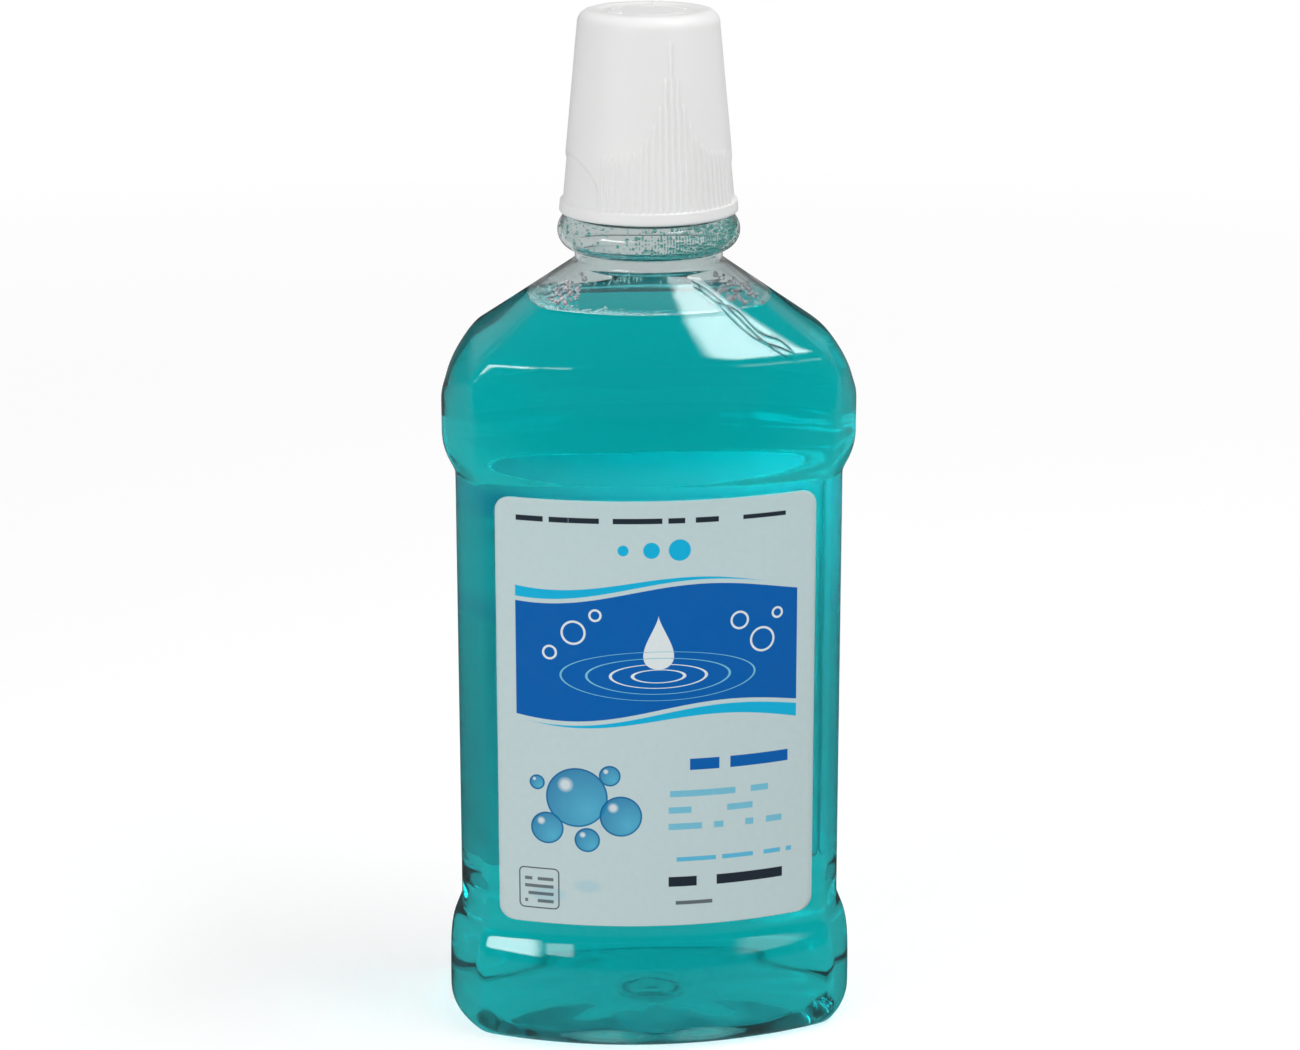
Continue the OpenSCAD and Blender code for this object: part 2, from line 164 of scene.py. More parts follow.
# Lock teeth on the bead: their height, and their start and span in degrees
LOCK_H = 1.4
LOCK_START = -61.0
LOCK_SPAN = 9.0

# Levels
PANEL_Z = BUMPER_H + LOWER_STEP_H
WAIST_Z = PANEL_Z + PANEL_H
CHEST_Z = WAIST_Z + UPPER_STEP_H
CUT_Z = CHEST_Z + CHEST_H
EAVE_Z = CUT_Z + SIDE_CUT_H
NECK_Z = EAVE_Z + ROOF_H
BEAD_TOP_Z = RIM_Z - FINISH_H
BEAD_Z = BEAD_TOP_Z - BEAD_ROUND
THREAD_Z = BEAD_TOP_Z + 4.2
LEDGE_Z = seal_high[2]
SKIRT_Z = BEAD_TOP_Z + LOCK_H + SKIRT_CLEAR
BAND_Z = CAP_Z + RIM_BAND_H
CAP_EDGE_Z = CAP_TOP_Z - CAP_SOFT
CUP_TOP_Z = CAP_TOP_Z - CAP_WALL - TOP_DISH

# Radii and lean of the cap
CAP_TOP_R = CAP_RIM_R - RIB_H - CAP_TAPER
CAP_IN_R = CAP_RIM_R - RIB_H - CAP_WALL
CAP_SLOPE = CAP_TAPER / (CAP_TOP_Z - CAP_Z)
CAP_LEAN = math.degrees(math.atan(CAP_SLOPE))
SKIRT_R = FINISH_R + THREAD_H + THREAD_GAP
MOUTH_R = FINISH_R - FINISH_WALL + MOUTH_STEP

# Points in a quarter of a section: side arc, corner arc, front arc
SIDE_STEPS, CORNER_STEPS, FRONT_STEPS = 14, 12, 34
QUARTER = SIDE_STEPS + CORNER_STEPS + FRONT_STEPS
RING = 4 * QUARTER

# Angles in degrees between which the corner arcs end on the neck
HIP_START, HIP_END = 9.0, 21.0

# Control rings: shares of the boss's radius and depth, then of the heel's section, the push-up
# and the petals
BOSS_RINGS = ((0.2, 1), (0.45, 1), (0.85, 0.95), (1, 0.5), (1.15, 0))
BASE_RINGS = (
    (0.38, 1, 0.3), (0.54, 0.97, 0.8), (0.7, 0.82, 1),
    (0.84, 0.54, 0.6), (0.91, 0.24, 0.1), (0.96, 0, 0),
)

# Control rings of the body: shares of the part's height and of the panel's inset
BUMPER_RINGS = ((0.5, 0), (0.8, 0.04), (0.94, 0.11))
LOWER_STEP_RINGS = ((0.2, 0.26), (0.86, 0.93), (1, 1))
PANEL_RINGS = ((0.5, 1),)
UPPER_STEP_RINGS = ((0, 1), (0.07, 0.95), (0.48, 0.36), (0.72, 0.12), (1, 0))
CUT_SHARES = (0, 0.2, 0.4, 0.6, 0.8, 1)
ROOF_SHARES = (0.3, 0.55, 0.8, 1)


def mix(a, b, t):
    return a + (b - a) * t


def soft_min(a, b, k):
    return (a + b - np.sqrt((a - b) ** 2 + k * k)) / 2


def ease(low, high, x):
    """Smooth change from 0 to 1 as x goes from low to high."""
    t = np.clip((x - low) / (high - low), 0, 1)
    return t * t * (3 - 2 * t)


def spread(a, b, steps):
    return a + (b - a) * np.arange(steps) / steps


def quarter(w, d, rc):
    """Quarter of a section with bowed front, bowed side and a corner arc that touches both."""
    fy, sx = d - FRONT_R, w - SIDE_R
    a, b, span = FRONT_R - rc, SIDE_R - rc, math.hypot(sx, fy)
    along = (a * a - b * b + span * span) / (2 * span)
    across = math.sqrt(a * a - along * along)
    cx = (along * sx - across * fy) / span
    cy = fy - (along * fy + across * sx) / span
    side_a, front_a = math.atan2(cy, cx - sx), math.atan2(cy - fy, cx)
    s = spread(0, side_a, SIDE_STEPS)
    c = spread(side_a, front_a, CORNER_STEPS)
    f = np.append(spread(front_a, math.pi / 2, FRONT_STEPS), math.pi / 2)
    return np.concatenate([
        np.stack([sx + SIDE_R * np.cos(s), SIDE_R * np.sin(s)], 1),
        np.stack([cx + rc * np.cos(c), cy + rc * np.sin(c)], 1),
        np.stack([FRONT_R * np.cos(f), fy + FRONT_R * np.sin(f)], 1),
    ])


def round_quarter(r):
    """Quarter of a circle with the same count of points as a quarter of a section."""
    t = np.radians(np.concatenate([
        spread(0, HIP_START, SIDE_STEPS),
        spread(HIP_START, HIP_END, CORNER_STEPS),
        np.append(spread(HIP_END, 90, FRONT_STEPS), 90),
    ]))
    return r * np.stack([np.cos(t), np.sin(t)], 1)


def ring(q, side_z, front_z):
    """Whole ring from a quarter, with its height at the sides and at the front."""
    rise = mix(side_z, front_z, np.clip((np.arange(QUARTER + 1) - SIDE_STEPS) / CORNER_STEPS, 0, 1))
    p = np.column_stack([q, rise])
    fore, back = p[:QUARTER], p[:0:-1]
    return np.concatenate([fore, back * [-1, 1, 1], fore * [-1, -1, 1], back * [1, -1, 1]])


def body_ring(z, inset):
    return ring(quarter(BODY_W / 2 - inset, BODY_D / 2 - inset, CORNER_R), z, z)


def cut_ring(t):
    """Ring from the top of the chest, at 0, to the eaves, at 1, cut in by the side flats."""
    q = quarter(BODY_W / 2, BODY_D / 2 - FRONT_LEAN * t, mix(CORNER_R, CORNER_R / 2, t))
    x = BODY_W / 2 - SIDE_CUT_IN * t ** FLAT_EASE
    k = CREASE_SOFT if t > 0 else 0
    q[:, 0] = soft_min(q[:, 0], x - q[:, 1] ** 2 / 2 / FLAT_R, k)
    return ring(q, mix(CUT_Z, EAVE_Z, t), mix(CUT_Z, EAVE_Z - EAVE_DROP, t))


def roof_ring(t):
    """Ring from the eaves, at 0, to the foot of the round neck, at 1."""
    return mix(cut_ring(1), ring(round_quarter(RING_R), NECK_Z, NECK_Z), t)


def base_ring(share, rise, petal):
    p = body_ring(0, HEEL_R)
    wave = (1 + np.cos(PETALS * np.arctan2(p[:, 1], p[:, 0]) - math.pi / 2)) / 2
    return np.column_stack([p[:, :2] * share, PUSH_UP * rise - PETAL_H * petal * wave * rise])


def boss_ring(share, depth):
    return ring(round_quarter(BOSS_R * share), PUSH_UP, PUSH_UP) - [0, 0, BOSS_H * depth]


def body_rings():
    """Control rings of the outer skin, from the middle of the base to the neck."""
    rings = [boss_ring(*shares) for shares in BOSS_RINGS]
    rings += [base_ring(*shares) for shares in BASE_RINGS]
    for a in np.radians(range(90, -1, -9)):
        rings.append(body_ring(HEEL_R * (1 - math.sin(a)), HEEL_R * (1 - math.cos(a))))
    for foot_z, height, shares in (
        (0, BUMPER_H, BUMPER_RINGS),
        (BUMPER_H, LOWER_STEP_H, LOWER_STEP_RINGS),
        (PANEL_Z, PANEL_H, PANEL_RINGS),
        (WAIST_Z, UPPER_STEP_H, UPPER_STEP_RINGS),
    ):
        rings += [body_ring(foot_z + height * h, PANEL_INSET * inset) for h, inset in shares]
    rings += [cut_ring(t) for t in CUT_SHARES]
    rings += [roof_ring(t) for t in ROOF_SHARES]
    return np.array(rings)


def arc(cx, cy, r, start, end, steps):
    """Points of an arc between two angles in degrees."""
    t = np.radians(np.linspace(start, end, steps + 1))
    return [(cx + r * math.cos(a), cy + r * math.sin(a)) for a in t]


def neck_profile():
    """Radius and height from the foot of the narrow ring to below the rim."""
    out_a = -math.degrees(math.acos((RING_R - BEAD_MID_R) / BEAD_ROUND))
    return [
        (RING_R, NECK_Z),
        *arc(BEAD_MID_R, BEAD_Z, BEAD_ROUND, out_a, 90, 30),
        (FINISH_R, BEAD_TOP_Z + FINISH_BLEND),
        (FINISH_R, RIM_Z - RIM_SOFT),
    ]


def resample(rings, step):
    """Rings at an even spacing along the mean profile."""
    gaps = np.linalg.norm(np.diff(rings, axis=0), axis=2).mean(1)
    at = np.concatenate([[0], np.cumsum(gaps)])
    new = np.linspace(0, at[-1], max(2, round(at[-1] / step)) + 1)
    j = np.clip(np.searchsorted(at, new, side="right") - 1, 0, len(at) - 2)
    t = ((new - at[j]) / (at[j + 1] - at[j]))[:, None, None]
    return mix(rings[j], rings[j + 1], t)


def smooth(rings, sigma):
    """Gaussian blur along the profile with its two ends held, sigma in rings."""
    n = int(math.ceil(3 * sigma))
    w = np.exp(-0.5 * (np.arange(-n, n + 1) / sigma) ** 2)
    w /= w.sum()
    low = 2 * rings[0] - rings[n:0:-1]
    high = 2 * rings[-1] - rings[-2:-n - 2:-1]
    wide = np.concatenate([low, rings, high])
    return sum(w[k] * wide[k:k + len(rings)] for k in range(2 * n + 1))


def outward(rings):
    """Unit direction out of the skin at each point of a stack of rings."""
    round_way = np.roll(rings, -1, 1) - np.roll(rings, 1, 1)
    up_way = np.gradient(rings, axis=0)
    v = np.cross(round_way, up_way)
    return v / np.linalg.norm(v, axis=2, keepdims=True)


def thread(angle, z, start_z):
    """Height of a right-hand thread ridge at points given by angle and level."""
    ridge = np.zeros_like(z)
    for k in range(math.ceil(THREAD_TURNS) + 1):
        s = (angle / (2 * math.pi)) % 1 + k
        off = np.abs(z - (start_z + THREAD_PITCH * s)) / THREAD_HALF_W
        ends = ease(0, THREAD_RUN_OUT, s) * (1 - ease(THREAD_TURNS - THREAD_RUN_OUT, THREAD_TURNS, s))
        ridge = np.maximum(ridge, THREAD_H * ends * (1 - ease(0.3, 1, off)))
    return ridge


def grid_faces(rows, n, first=0):
    """Quads between the rings of a stack."""
    j, i = np.meshgrid(np.arange(rows - 1), np.arange(n), indexing="ij")
    a = first + j * n + i
    b = first + j * n + (i + 1) % n
    return np.stack([a, b, b + n, a + n], -1).reshape(-1, 4).tolist()


def fan_faces(first, n, middle, flip=False):
    """Triangles from a ring to a middle point."""
    f = [[first + i, first + (i + 1) % n, middle] for i in range(n)]
    return [t[::-1] for t in f] if flip else f


def mesh_piece(name, points, faces, smooth_faces=True):
    """New object from points in millimetres."""
    me = bpy.data.meshes.new(name)
    me.from_pydata((np.asarray(points) * MM).tolist(), [], faces)
    me.validate()
    if smooth_faces:
        me.shade_smooth()
    ob = bpy.data.objects.new(name, me)
    bpy.context.scene.collection.objects.link(ob)
    return ob


def stacked(name, stacks, closed_foot=None, closed_head=None):
    """Skin through rings that follow one another, with optional middle points at its two ends."""
    rings = np.concatenate(stacks)
    rows, n = rings.shape[:2]
    points = rings.reshape(-1, 3)
    faces = grid_faces(rows, n)
    if closed_foot is not None:
        faces += fan_faces(0, n, len(points), flip=True)
        points = np.vstack([points, closed_foot])
    if closed_head is not None:
        faces += fan_faces((rows - 1) * n, n, len(points))
        points = np.vstack([points, closed_head])
    return mesh_piece(name, points, faces)


def circles(profile, n):
    """Stack of circles with n points from radius and height pairs."""
    t = np.linspace(0, 2 * math.pi, n, endpoint=False)
    return np.array([[(r * math.cos(a), r * math.sin(a), z) for a in t] for r, z in profile])


# Skins that the bottle and the rinse share: spacing of their rings, and the blur along them in rings
BODY_STEP, NECK_STEP = 0.8, 0.45
BODY_BLUR, NECK_BLUR = 0.9, 0.6
body_skin = smooth(resample(body_rings(), BODY_STEP), BODY_BLUR)
neck_rings = np.array([ring(round_quarter(r), z, z) for r, z in neck_profile()])
neck_skin = smooth(resample(neck_rings, NECK_STEP), NECK_BLUR)
outer_skin = np.concatenate([body_skin, neck_skin[1:]])
skin_out = outward(outer_skin)


def make_bottle():
    """Blown shell with the thread on its finish, its outside and inside in one skin."""
    outer = outer_skin.copy()
    z = outer[:, :, 2]
    thick = mix(WALL, NECK_WALL, ease(NECK_Z - 4, NECK_Z, z))
    thick = mix(thick, FINISH_WALL, ease(BEAD_TOP_Z - 0.5, BEAD_TOP_Z + 1, z))
    inner = outer_skin - skin_out * thick[:, :, None]
    angle = np.arctan2(outer[:, :, 1], outer[:, :, 0])
    radius = np.hypot(outer[:, :, 0], outer[:, :, 1])
    grown = (radius + thread(angle, z, THREAD_Z)) / np.maximum(radius, MM)
    outer[:, :, :2] *= grown[:, :, None]
    rim = arc(FINISH_R - RIM_SOFT, RIM_Z - RIM_SOFT, RIM_SOFT, 0, 90, 5)[1:]
    rim += arc(FINISH_R - FINISH_WALL + RIM_SOFT, RIM_Z - RIM_SOFT, RIM_SOFT, 90, 180, 5)[:-1]
    rim_rings = np.array([ring(round_quarter(r), h, h) for r, h in rim])
    foot_z = PUSH_UP - BOSS_H
    return stacked("bottle_shell", [outer, rim_rings, inner[::-1]], [0, 0, foot_z], [0, 0, foot_z + WALL])


def lock_teeth():
    """Stops on the crown of the bead that hold the cap until it is squeezed."""
    points, faces = [], []
    in_r, out_r = FINISH_R - 0.4, CAP_IN_R - 0.9
    low, high = BEAD_TOP_Z - NECK_WALL / 2, BEAD_TOP_Z + LOCK_H
    section = [(in_r, low), (out_r, low), (out_r, low + 1.2), (out_r - 0.7, high), (in_r, high)]
    k, steps = len(section), 6
    for start in (LOCK_START, LOCK_START + 180):
        first = len(points)
        for a in np.radians(np.linspace(start, start + LOCK_SPAN, steps + 1)):
            points += [(r * math.cos(a), r * math.sin(a), h) for r, h in section]
        last = first + steps * k
        faces += grid_faces(steps + 1, k, first)
        faces += [list(range(first, first + k))[::-1], list(range(last, last + k))]
    return mesh_piece("lock_teeth", points, faces, smooth_faces=False)


def make_rinse():
    """Rinse that wets the wall, with a meniscus round its surface."""
    skin = outer_skin - skin_out * WET_DEPTH
    top = FILL_Z - EDGE_DROP
    rows = int(np.argmax(skin[:, :, 2].min(1) > top - 2))
    low = skin[:rows]
    row, column = np.argmax(skin[:, :, 2] > top, axis=0), np.arange(RING)
    under, over = skin[row - 1, column], skin[row, column]
    rim = mix(under, over, ((top - under[:, 2]) / (over[:, 2] - under[:, 2]))[:, None])
    walls = np.array([mix(low[-1], rim, t) for t in (0.35, 0.7)])
    span = np.hypot(rim[:, 0], rim[:, 1])
    inward = []
    for gap in (0.25, 0.5, 0.8, 1.2, 1.7, 2.4, 3.4, 5, 8):
        p = rim * (1 - gap / span)[:, None]
        p[:, 2] = top - MENISCUS_H * (1 - np.exp(-gap / MENISCUS_REACH))
        inward.append(p)
    for share in (0.7, 0.4, 0.15):
        p = inward[-1] * share
        p[:, 2] = top - MENISCUS_H
        inward.append(p)
    foot = [0, 0, PUSH_UP - BOSS_H + WET_DEPTH]
    return stacked("rinse_body", [low, walls, [rim], inward], foot, [0, 0, top - MENISCUS_H])


def make_label(name, node_low, node_high, side):
    """Film bent round the panel, with round corners; side is -1 in front and 1 at the back."""
    half, low, high, corner = node_high[0], node_low[2], node_high[2], LABEL_CORNER
    turn = 1 if side < 0 else -1
    centre_y = -side * (FRONT_R - BODY_D / 2 + PANEL_INSET)
    edge = corner * (1 - np.cos(np.radians(np.linspace(0, 90, 9))))
    middle = np.linspace(low + corner, high - corner, 30)[1:-1]
    rows = np.concatenate([low + edge, middle, high - edge[::-1]])
    columns = np.linspace(-1, 1, 61)
    sheets = []
    for r in (FRONT_R + FILM_OUT, FRONT_R - FILM_IN):
        for z in rows:
            dz = max(low + corner - z, z - high + corner, 0)
            x = columns * (half - corner + math.sqrt(max(corner * corner - dz * dz, 0)))
            y = centre_y + side * np.sqrt(r * r - x * x)
            sheets.append(np.stack([x, y, np.full_like(x, z)], 1))
    nr, nc = len(rows), len(columns)
    faces = []
    for j in range(nr - 1):
        for i in range(nc - 1):
            a = j * nc + i
            q = [a, a + 1, a + nc + 1, a + nc]
            back = [p + nr * nc for p in q][::-1]
            faces += [q[::turn], back[::turn]]
    printed = len(faces)
    edge_loop = list(range(nc))
    edge_loop += [j * nc + nc - 1 for j in range(1, nr)]
    edge_loop += [(nr - 1) * nc + i for i in range(nc - 2, -1, -1)]
    edge_loop += [j * nc for j in range(nr - 2, 0, -1)]
    for a, b in zip(edge_loop, edge_loop[1:] + edge_loop[:1]):
        q = [a, a + nr * nc, b + nr * nc, b]
        faces.append(q[::turn])
    ob = mesh_piece(name, np.concatenate(sheets), faces)
    for k in range(1, printed, 2):
        ob.data.polygons[k].material_index = 1
    return ob


def side_r_at(z):
    """Radius of the cap's plain side at a level."""
    return CAP_TOP_R + (CAP_TOP_Z - z) * CAP_SLOPE


def rib_height(angle, z):
    """How far the ribs stand out at an angle in degrees and a level."""
    total = np.zeros_like(z)
    for field in (RIB_TURN - 90, RIB_TURN + 90):
        off = (angle - field + 180) % 360 - 180
        k = np.clip(np.round(off / RIB_PITCH), -RIBS_HALF, RIBS_HALF)
        away = np.abs(off - k * RIB_PITCH) * math.pi / 180 * side_r_at(z)
        top = BAND_Z + mix(RIB_LOW, RIB_HIGH, (1 - np.abs(k) / RIBS_HALF) ** 4)
        shape = 1 - ease(RIB_W * 0.14, RIB_W * 0.5, away)
        total = np.maximum(total, RIB_H * shape * (1 - ease(top - RIB_END, top, z)))
    return total


def pad_depth(angle, z):
    """How deep the squeeze pads lie at an angle in degrees and a level."""
    total = np.zeros_like(z)
    half, side_h = PAD_W / 2, PAD_H * 0.2
    for centre in (RIB_TURN, RIB_TURN + 180):
        off = np.radians((angle - centre + 180) % 360 - 180)
        across = side_r_at(z) * np.sin(off)
        arch = BAND_Z + side_h + (PAD_H - side_h) * np.sqrt(np.clip(1 - (across / half) ** 2, 0, 1))
        inside = np.minimum(half - np.abs(across), arch - z)
        inside = np.minimum(inside, z - BAND_Z)
        facing = np.cos(off) > 0
        total = np.maximum(total, facing * PAD_DEPTH * ease(0, 0.6, inside))
    return total


def top_marks(angle, r):
    """Raised turning arrows on the top of the cap, three arcs with their heads."""
    turn = (angle % 120) / 120
    off = np.abs(r - MARK_R)
    bar = ease(0, 0.2, 0.55 - off) * ease(0.08, 0.1, turn) * (1 - ease(0.66, 0.68, turn))
    reach = (0.86 - turn) / 0.2
    head = ease(0, 0.1, reach * 1.6 - off) * ease(0.64, 0.66, turn) * (reach > 0)
    return MARK_H * np.maximum(bar, head)


def cap_outside(angle):
    """Skin of the cap from its foot up the side to the middle of its top, at angles in degrees."""
    soft_r = side_r_at(CAP_EDGE_Z) - CAP_SOFT
    foot = [(CAP_IN_R, CAP_Z + BEVEL), (CAP_IN_R + BEVEL, CAP_Z)]
    foot += arc(CAP_RIM_R - RIM_SOFT, CAP_Z + RIM_SOFT, RIM_SOFT, -90, 0, 6)
    foot += [(CAP_RIM_R - CAP_SLOPE * h, CAP_Z + RIM_SOFT + h) for h in (0.5, 1.1)]
    foot += arc(CAP_RIM_R - BAND_SOFT - CAP_SLOPE * 1.7, BAND_Z - BAND_SOFT, BAND_SOFT, 0, 60, 4)
    side = [(side_r_at(z), z) for z in np.linspace(BAND_Z + 0.15, CAP_EDGE_Z, 78)]
    shoulder = arc(soft_r, CAP_EDGE_Z, CAP_SOFT, CAP_LEAN, 90, 14)[1:]
    flat_r = np.linspace(soft_r, 0.4, 30)[1:]
    flat = [(r, CAP_TOP_Z - TOP_DISH * (1 - ease(9.2, 10.2, r))) for r in flat_r]
    skin = circles(foot + side + shoulder + flat, len(angle))
    z = skin[:, :, 2]
    r = np.hypot(skin[:, :, 0], skin[:, :, 1])
    a = np.broadcast_to(angle, z.shape)
    on_side = (z > BAND_Z) & (z < CAP_EDGE_Z)
    grown = r + np.where(on_side, rib_height(a, z) - pad_depth(a, z), 0)
    t = np.radians(angle)
    skin[:, :, 0] = grown * np.cos(t)
    skin[:, :, 1] = grown * np.sin(t)
    on_top = (r < 9.0) & (z > CAP_EDGE_Z)
    skin[:, :, 2] += np.where(on_top, top_marks(a, r), 0)
    return skin


def cap_inside(t):
    """Skin of the cup, the ledge, the threaded skirt and the gap behind it, at angles in radians."""
    soft = CAP_SOFT - CAP_WALL
    ledge_top_z = LEDGE_Z + LEDGE_T
    out_r = SKIRT_R + SKIRT_WALL
    fork_z = CAP_TOP_Z - (out_r + CAP_WALL - CAP_TOP_R) / CAP_SLOPE - SKIRT_WALL
    fork_r = side_r_at(fork_z) - CAP_WALL
    cup = [(r, CUP_TOP_Z) for r in (0.4, 5.0, 9.0)]
    cup += arc(side_r_at(CAP_EDGE_Z) - CAP_SOFT, CUP_TOP_Z - soft, soft, 90, CAP_LEAN, 6)
    cup += [(side_r_at(h) - CAP_WALL, h) for h in np.linspace(CUP_TOP_Z - 3, ledge_top_z + 0.4, 6)]
    ledge = [(side_r_at(LEDGE_Z) - CAP_WALL - 0.4, ledge_top_z), (MOUTH_R + BEVEL, ledge_top_z)]
    ledge += [(MOUTH_R, ledge_top_z - BEVEL), (MOUTH_R, LEDGE_Z + BEVEL), (MOUTH_R + BEVEL, LEDGE_Z)]
    skirt = [(SKIRT_R - BEVEL, LEDGE_Z)]
    skirt += [(SKIRT_R, h) for h in np.linspace(LEDGE_Z - BEVEL, SKIRT_Z + BEVEL, 34)]
    skirt += [(SKIRT_R + BEVEL, SKIRT_Z), (out_r - BEVEL, SKIRT_Z), (out_r, SKIRT_Z + BEVEL)]
    gap = [(out_r, fork_z), (fork_r, fork_z)]
    gap += [(mix(fork_r, CAP_IN_R, k), mix(fork_z, CAP_Z + BEVEL, k)) for k in (0.25, 0.5, 0.75)]
    skin = circles(cup + ledge + skirt + gap, len(t))
    z = skin[:, :, 2]
    r = np.hypot(skin[:, :, 0], skin[:, :, 1])
    on_skirt = np.abs(r - SKIRT_R) < 0.01
    ridge = thread(np.broadcast_to(t, z.shape), z, THREAD_Z - THREAD_PITCH / 2)
    shrunk = r - np.where(on_skirt, ridge, 0)
    skin[:, :, 0] = shrunk * np.cos(t)
    skin[:, :, 1] = shrunk * np.sin(t)
    return skin


def make_cap():
    """Cup, outer skirt and threaded inner skirt in one moulding."""
    n = 800
    angle = np.arange(n) * 360 / n
    outer, cavity = cap_outside(angle), cap_inside(np.radians(angle))
    first = len(outer) * n
    last = first + (len(cavity) - 1) * n
    points = np.concatenate([outer, cavity]).reshape(-1, 3)
    faces = grid_faces(len(outer), n)
    faces += grid_faces(len(cavity), n, first)
    faces += [[last + i, last + (i + 1) % n, (i + 1) % n, i] for i in range(n)]
    faces += fan_faces(first - n, n, len(points))
    faces += fan_faces(first, n, len(points) + 1, flip=True)
    points = np.vstack([points, [0, 0, CAP_TOP_Z - TOP_DISH], [0, 0, CUP_TOP_Z]])
    return mesh_piece("cap_moulding", points, faces)


def make_seal():
    """Soft washer between the rim of the neck and the ledge of the cap."""
    out_r, low, high, b = seal_high[0], seal_low[2], seal_high[2], 0.15
    profile = [(MOUTH_R + b, low), (out_r - b, low), (out_r, low + b), (out_r, high - b), (out_r - b, high)]
    profile += [(MOUTH_R + b, high), (MOUTH_R, high - b), (MOUTH_R, low + b), (MOUTH_R + b, low)]
    return stacked("seal_washer", [circles(profile, 128)])


def ball_cloud(name, centres, radii):
    """Many small balls in one mesh."""
    bpy.ops.mesh.primitive_ico_sphere_add(subdivisions=2, radius=1)
    ball = bpy.context.object
    unit = np.array([v.co for v in ball.data.vertices])
    tris = np.array([p.vertices for p in ball.data.polygons])
    bpy.data.objects.remove(ball)
    points = np.concatenate([c + r * unit for c, r in zip(centres, radii)])
    faces = np.concatenate([tris + k * len(unit) for k in range(len(radii))])
    return mesh_piece(name, points, faces.tolist())


# Rows of the outer skin that lie under the body, where nothing clings
BASE_ROWS = 60


def skin_point(angle, z, depth):
    """Point on the flask's skin nearest to an angle and a level, moved inwards by a depth."""
    under = 99 * (np.arange(len(outer_skin)) < BASE_ROWS)
    j = int(np.argmin(np.abs(outer_skin[:, :, 2].mean(1) - z) + under))
    ring_angle = np.arctan2(outer_skin[j, :, 1], outer_skin[j, :, 0])
    i = int(np.argmin(np.abs((ring_angle - angle + math.pi) % (2 * math.pi) - math.pi)))
    return outer_skin[j, i] - skin_out[j, i] * depth


def scatter(count, near, place):
    """Balls set down one after another, each left out where it would crowd the ones before."""
    centres, radii = np.empty((0, 3)), np.empty(0)
    for _ in range(count):
        p, r = place()
        if np.all(np.linalg.norm(centres - p, axis=1) > near * (radii + r)):
            centres = np.vstack([centres, p])
            radii = np.append(radii, r)
    return centres, radii


# How many bubbles, drops and balls of froth are tried, and how near two may lie in their radii
FOAM_TRIES, FOAM_NEAR = 900, 0.7
DROP_TRIES, DROP_NEAR = 2400, 0.75
FROTH_TRIES, FROTH_NEAR = 150, 0.62

# Where most of them gather, in radians: the foam from +X, the drops from the front. Each clump of
# froth has an angle from +X, a level, and the spread of both
FOAM_ANGLE, FOAM_SPREAD = -2.35, 0.4
DROP_ANGLE, DROP_SPREAD = 0.72, 0.38
FROTH_SPOTS = ((-2.62, 155.2, 0.1, 0.9), (-0.62, 155.0, 0.13, 1.4))


def make_foam(rng):
    """Small bubbles where the surface of the rinse meets the wall, most of them at the left front."""
    surface_z = FILL_Z - 1.0
    skin = outer_skin - skin_out * 1.0
    rows = np.argmax(skin[:, :, 2] > surface_z + 0.4, axis=0)
    edge = skin[rows, np.arange(RING)]
    edge_angle = np.arctan2(edge[:, 1], edge[:, 0])

    def place():
        angle = rng.uniform(-math.pi, math.pi)
        reach = 0.7
        if rng.random() < 0.75:
            angle = rng.normal(FOAM_ANGLE, FOAM_SPREAD)
            reach = 1.5
        off = (edge_angle - angle + math.pi) % (2 * math.pi) - math.pi
        p = edge[int(np.argmin(np.abs(off)))].copy()
        r = 0.16 + 0.4 * rng.random() ** 2.5
        gap = r + rng.exponential(reach)
        slide = rng.uniform(-0.6, 0.6)
        span = math.hypot(p[0], p[1])
        across = np.array([-p[1], p[0]]) / span
        p[:2] = p[:2] * (1 - gap / span) + across * slide
        p[2] = surface_z + 0.9 * math.exp(-gap / MENISCUS_REACH) + 0.1 * r
        return p, r

    return ball_cloud("surface_bubbles", *scatter(FOAM_TRIES, FOAM_NEAR, place))


def make_clumps(rng):
    """Two clumps of froth that cling to the wall below the neck."""
    def place():
        angle, z, wide, tall = FROTH_SPOTS[int(rng.random() < 0.6)]
        r = 0.2 + 0.45 * rng.random() ** 2
        return skin_point(rng.normal(angle, wide), rng.normal(z, tall), WALL + 0.5 * r), r

    return ball_cloud("wall_froth", *scatter(FROTH_TRIES, FROTH_NEAR, place))


def make_droplets(rng):
    """Drops of rinse that cling inside the bead, most of them at the right front."""
    def place():
        toward = -0.5 * math.pi + rng.normal(DROP_ANGLE, DROP_SPREAD)
        if rng.random() < 0.12:
            toward = rng.uniform(-math.pi, math.pi)
        r = 0.12 + 0.3 * rng.random() ** 2
        return skin_point(toward, rng.uniform(BEAD_Z - 3.6, BEAD_Z + 3.2), NECK_WALL + 0.15 * r), r

    return ball_cloud("neck_drops", *scatter(DROP_TRIES, DROP_NEAR, place))


# Levels of light, where 1 is white: the room seen through the flask, and as it lights matt surfaces
ROOM_THROUGH, ROOM_MATT = 0.75, 0.5

# The room's front mirrored by the outside and by the inside, its back mirrored by the inside, and
# the back as the surface of the rinse mirrors it
ROOM_FRONT, ROOM_INNER, ROOM_BACK, DRY_BACK = 0.04, 0.12, 0.8, 0.25

# Faint sheen of the back on the outside, low, at its brightest and high up, then that of the floor
SHEEN_LOW, SHEEN_BACK, SHEEN_TOP = 0.04, 0.28, 0.02
SHEEN_FLOOR, SHEEN_SWEEP = 0.04, 0.1

# Light on matt surfaces inside the flask, which grows towards the upper left
INSIDE_LOW, INSIDE_TOP = 0.3, 10.5
INSIDE_SLANT = -0.55

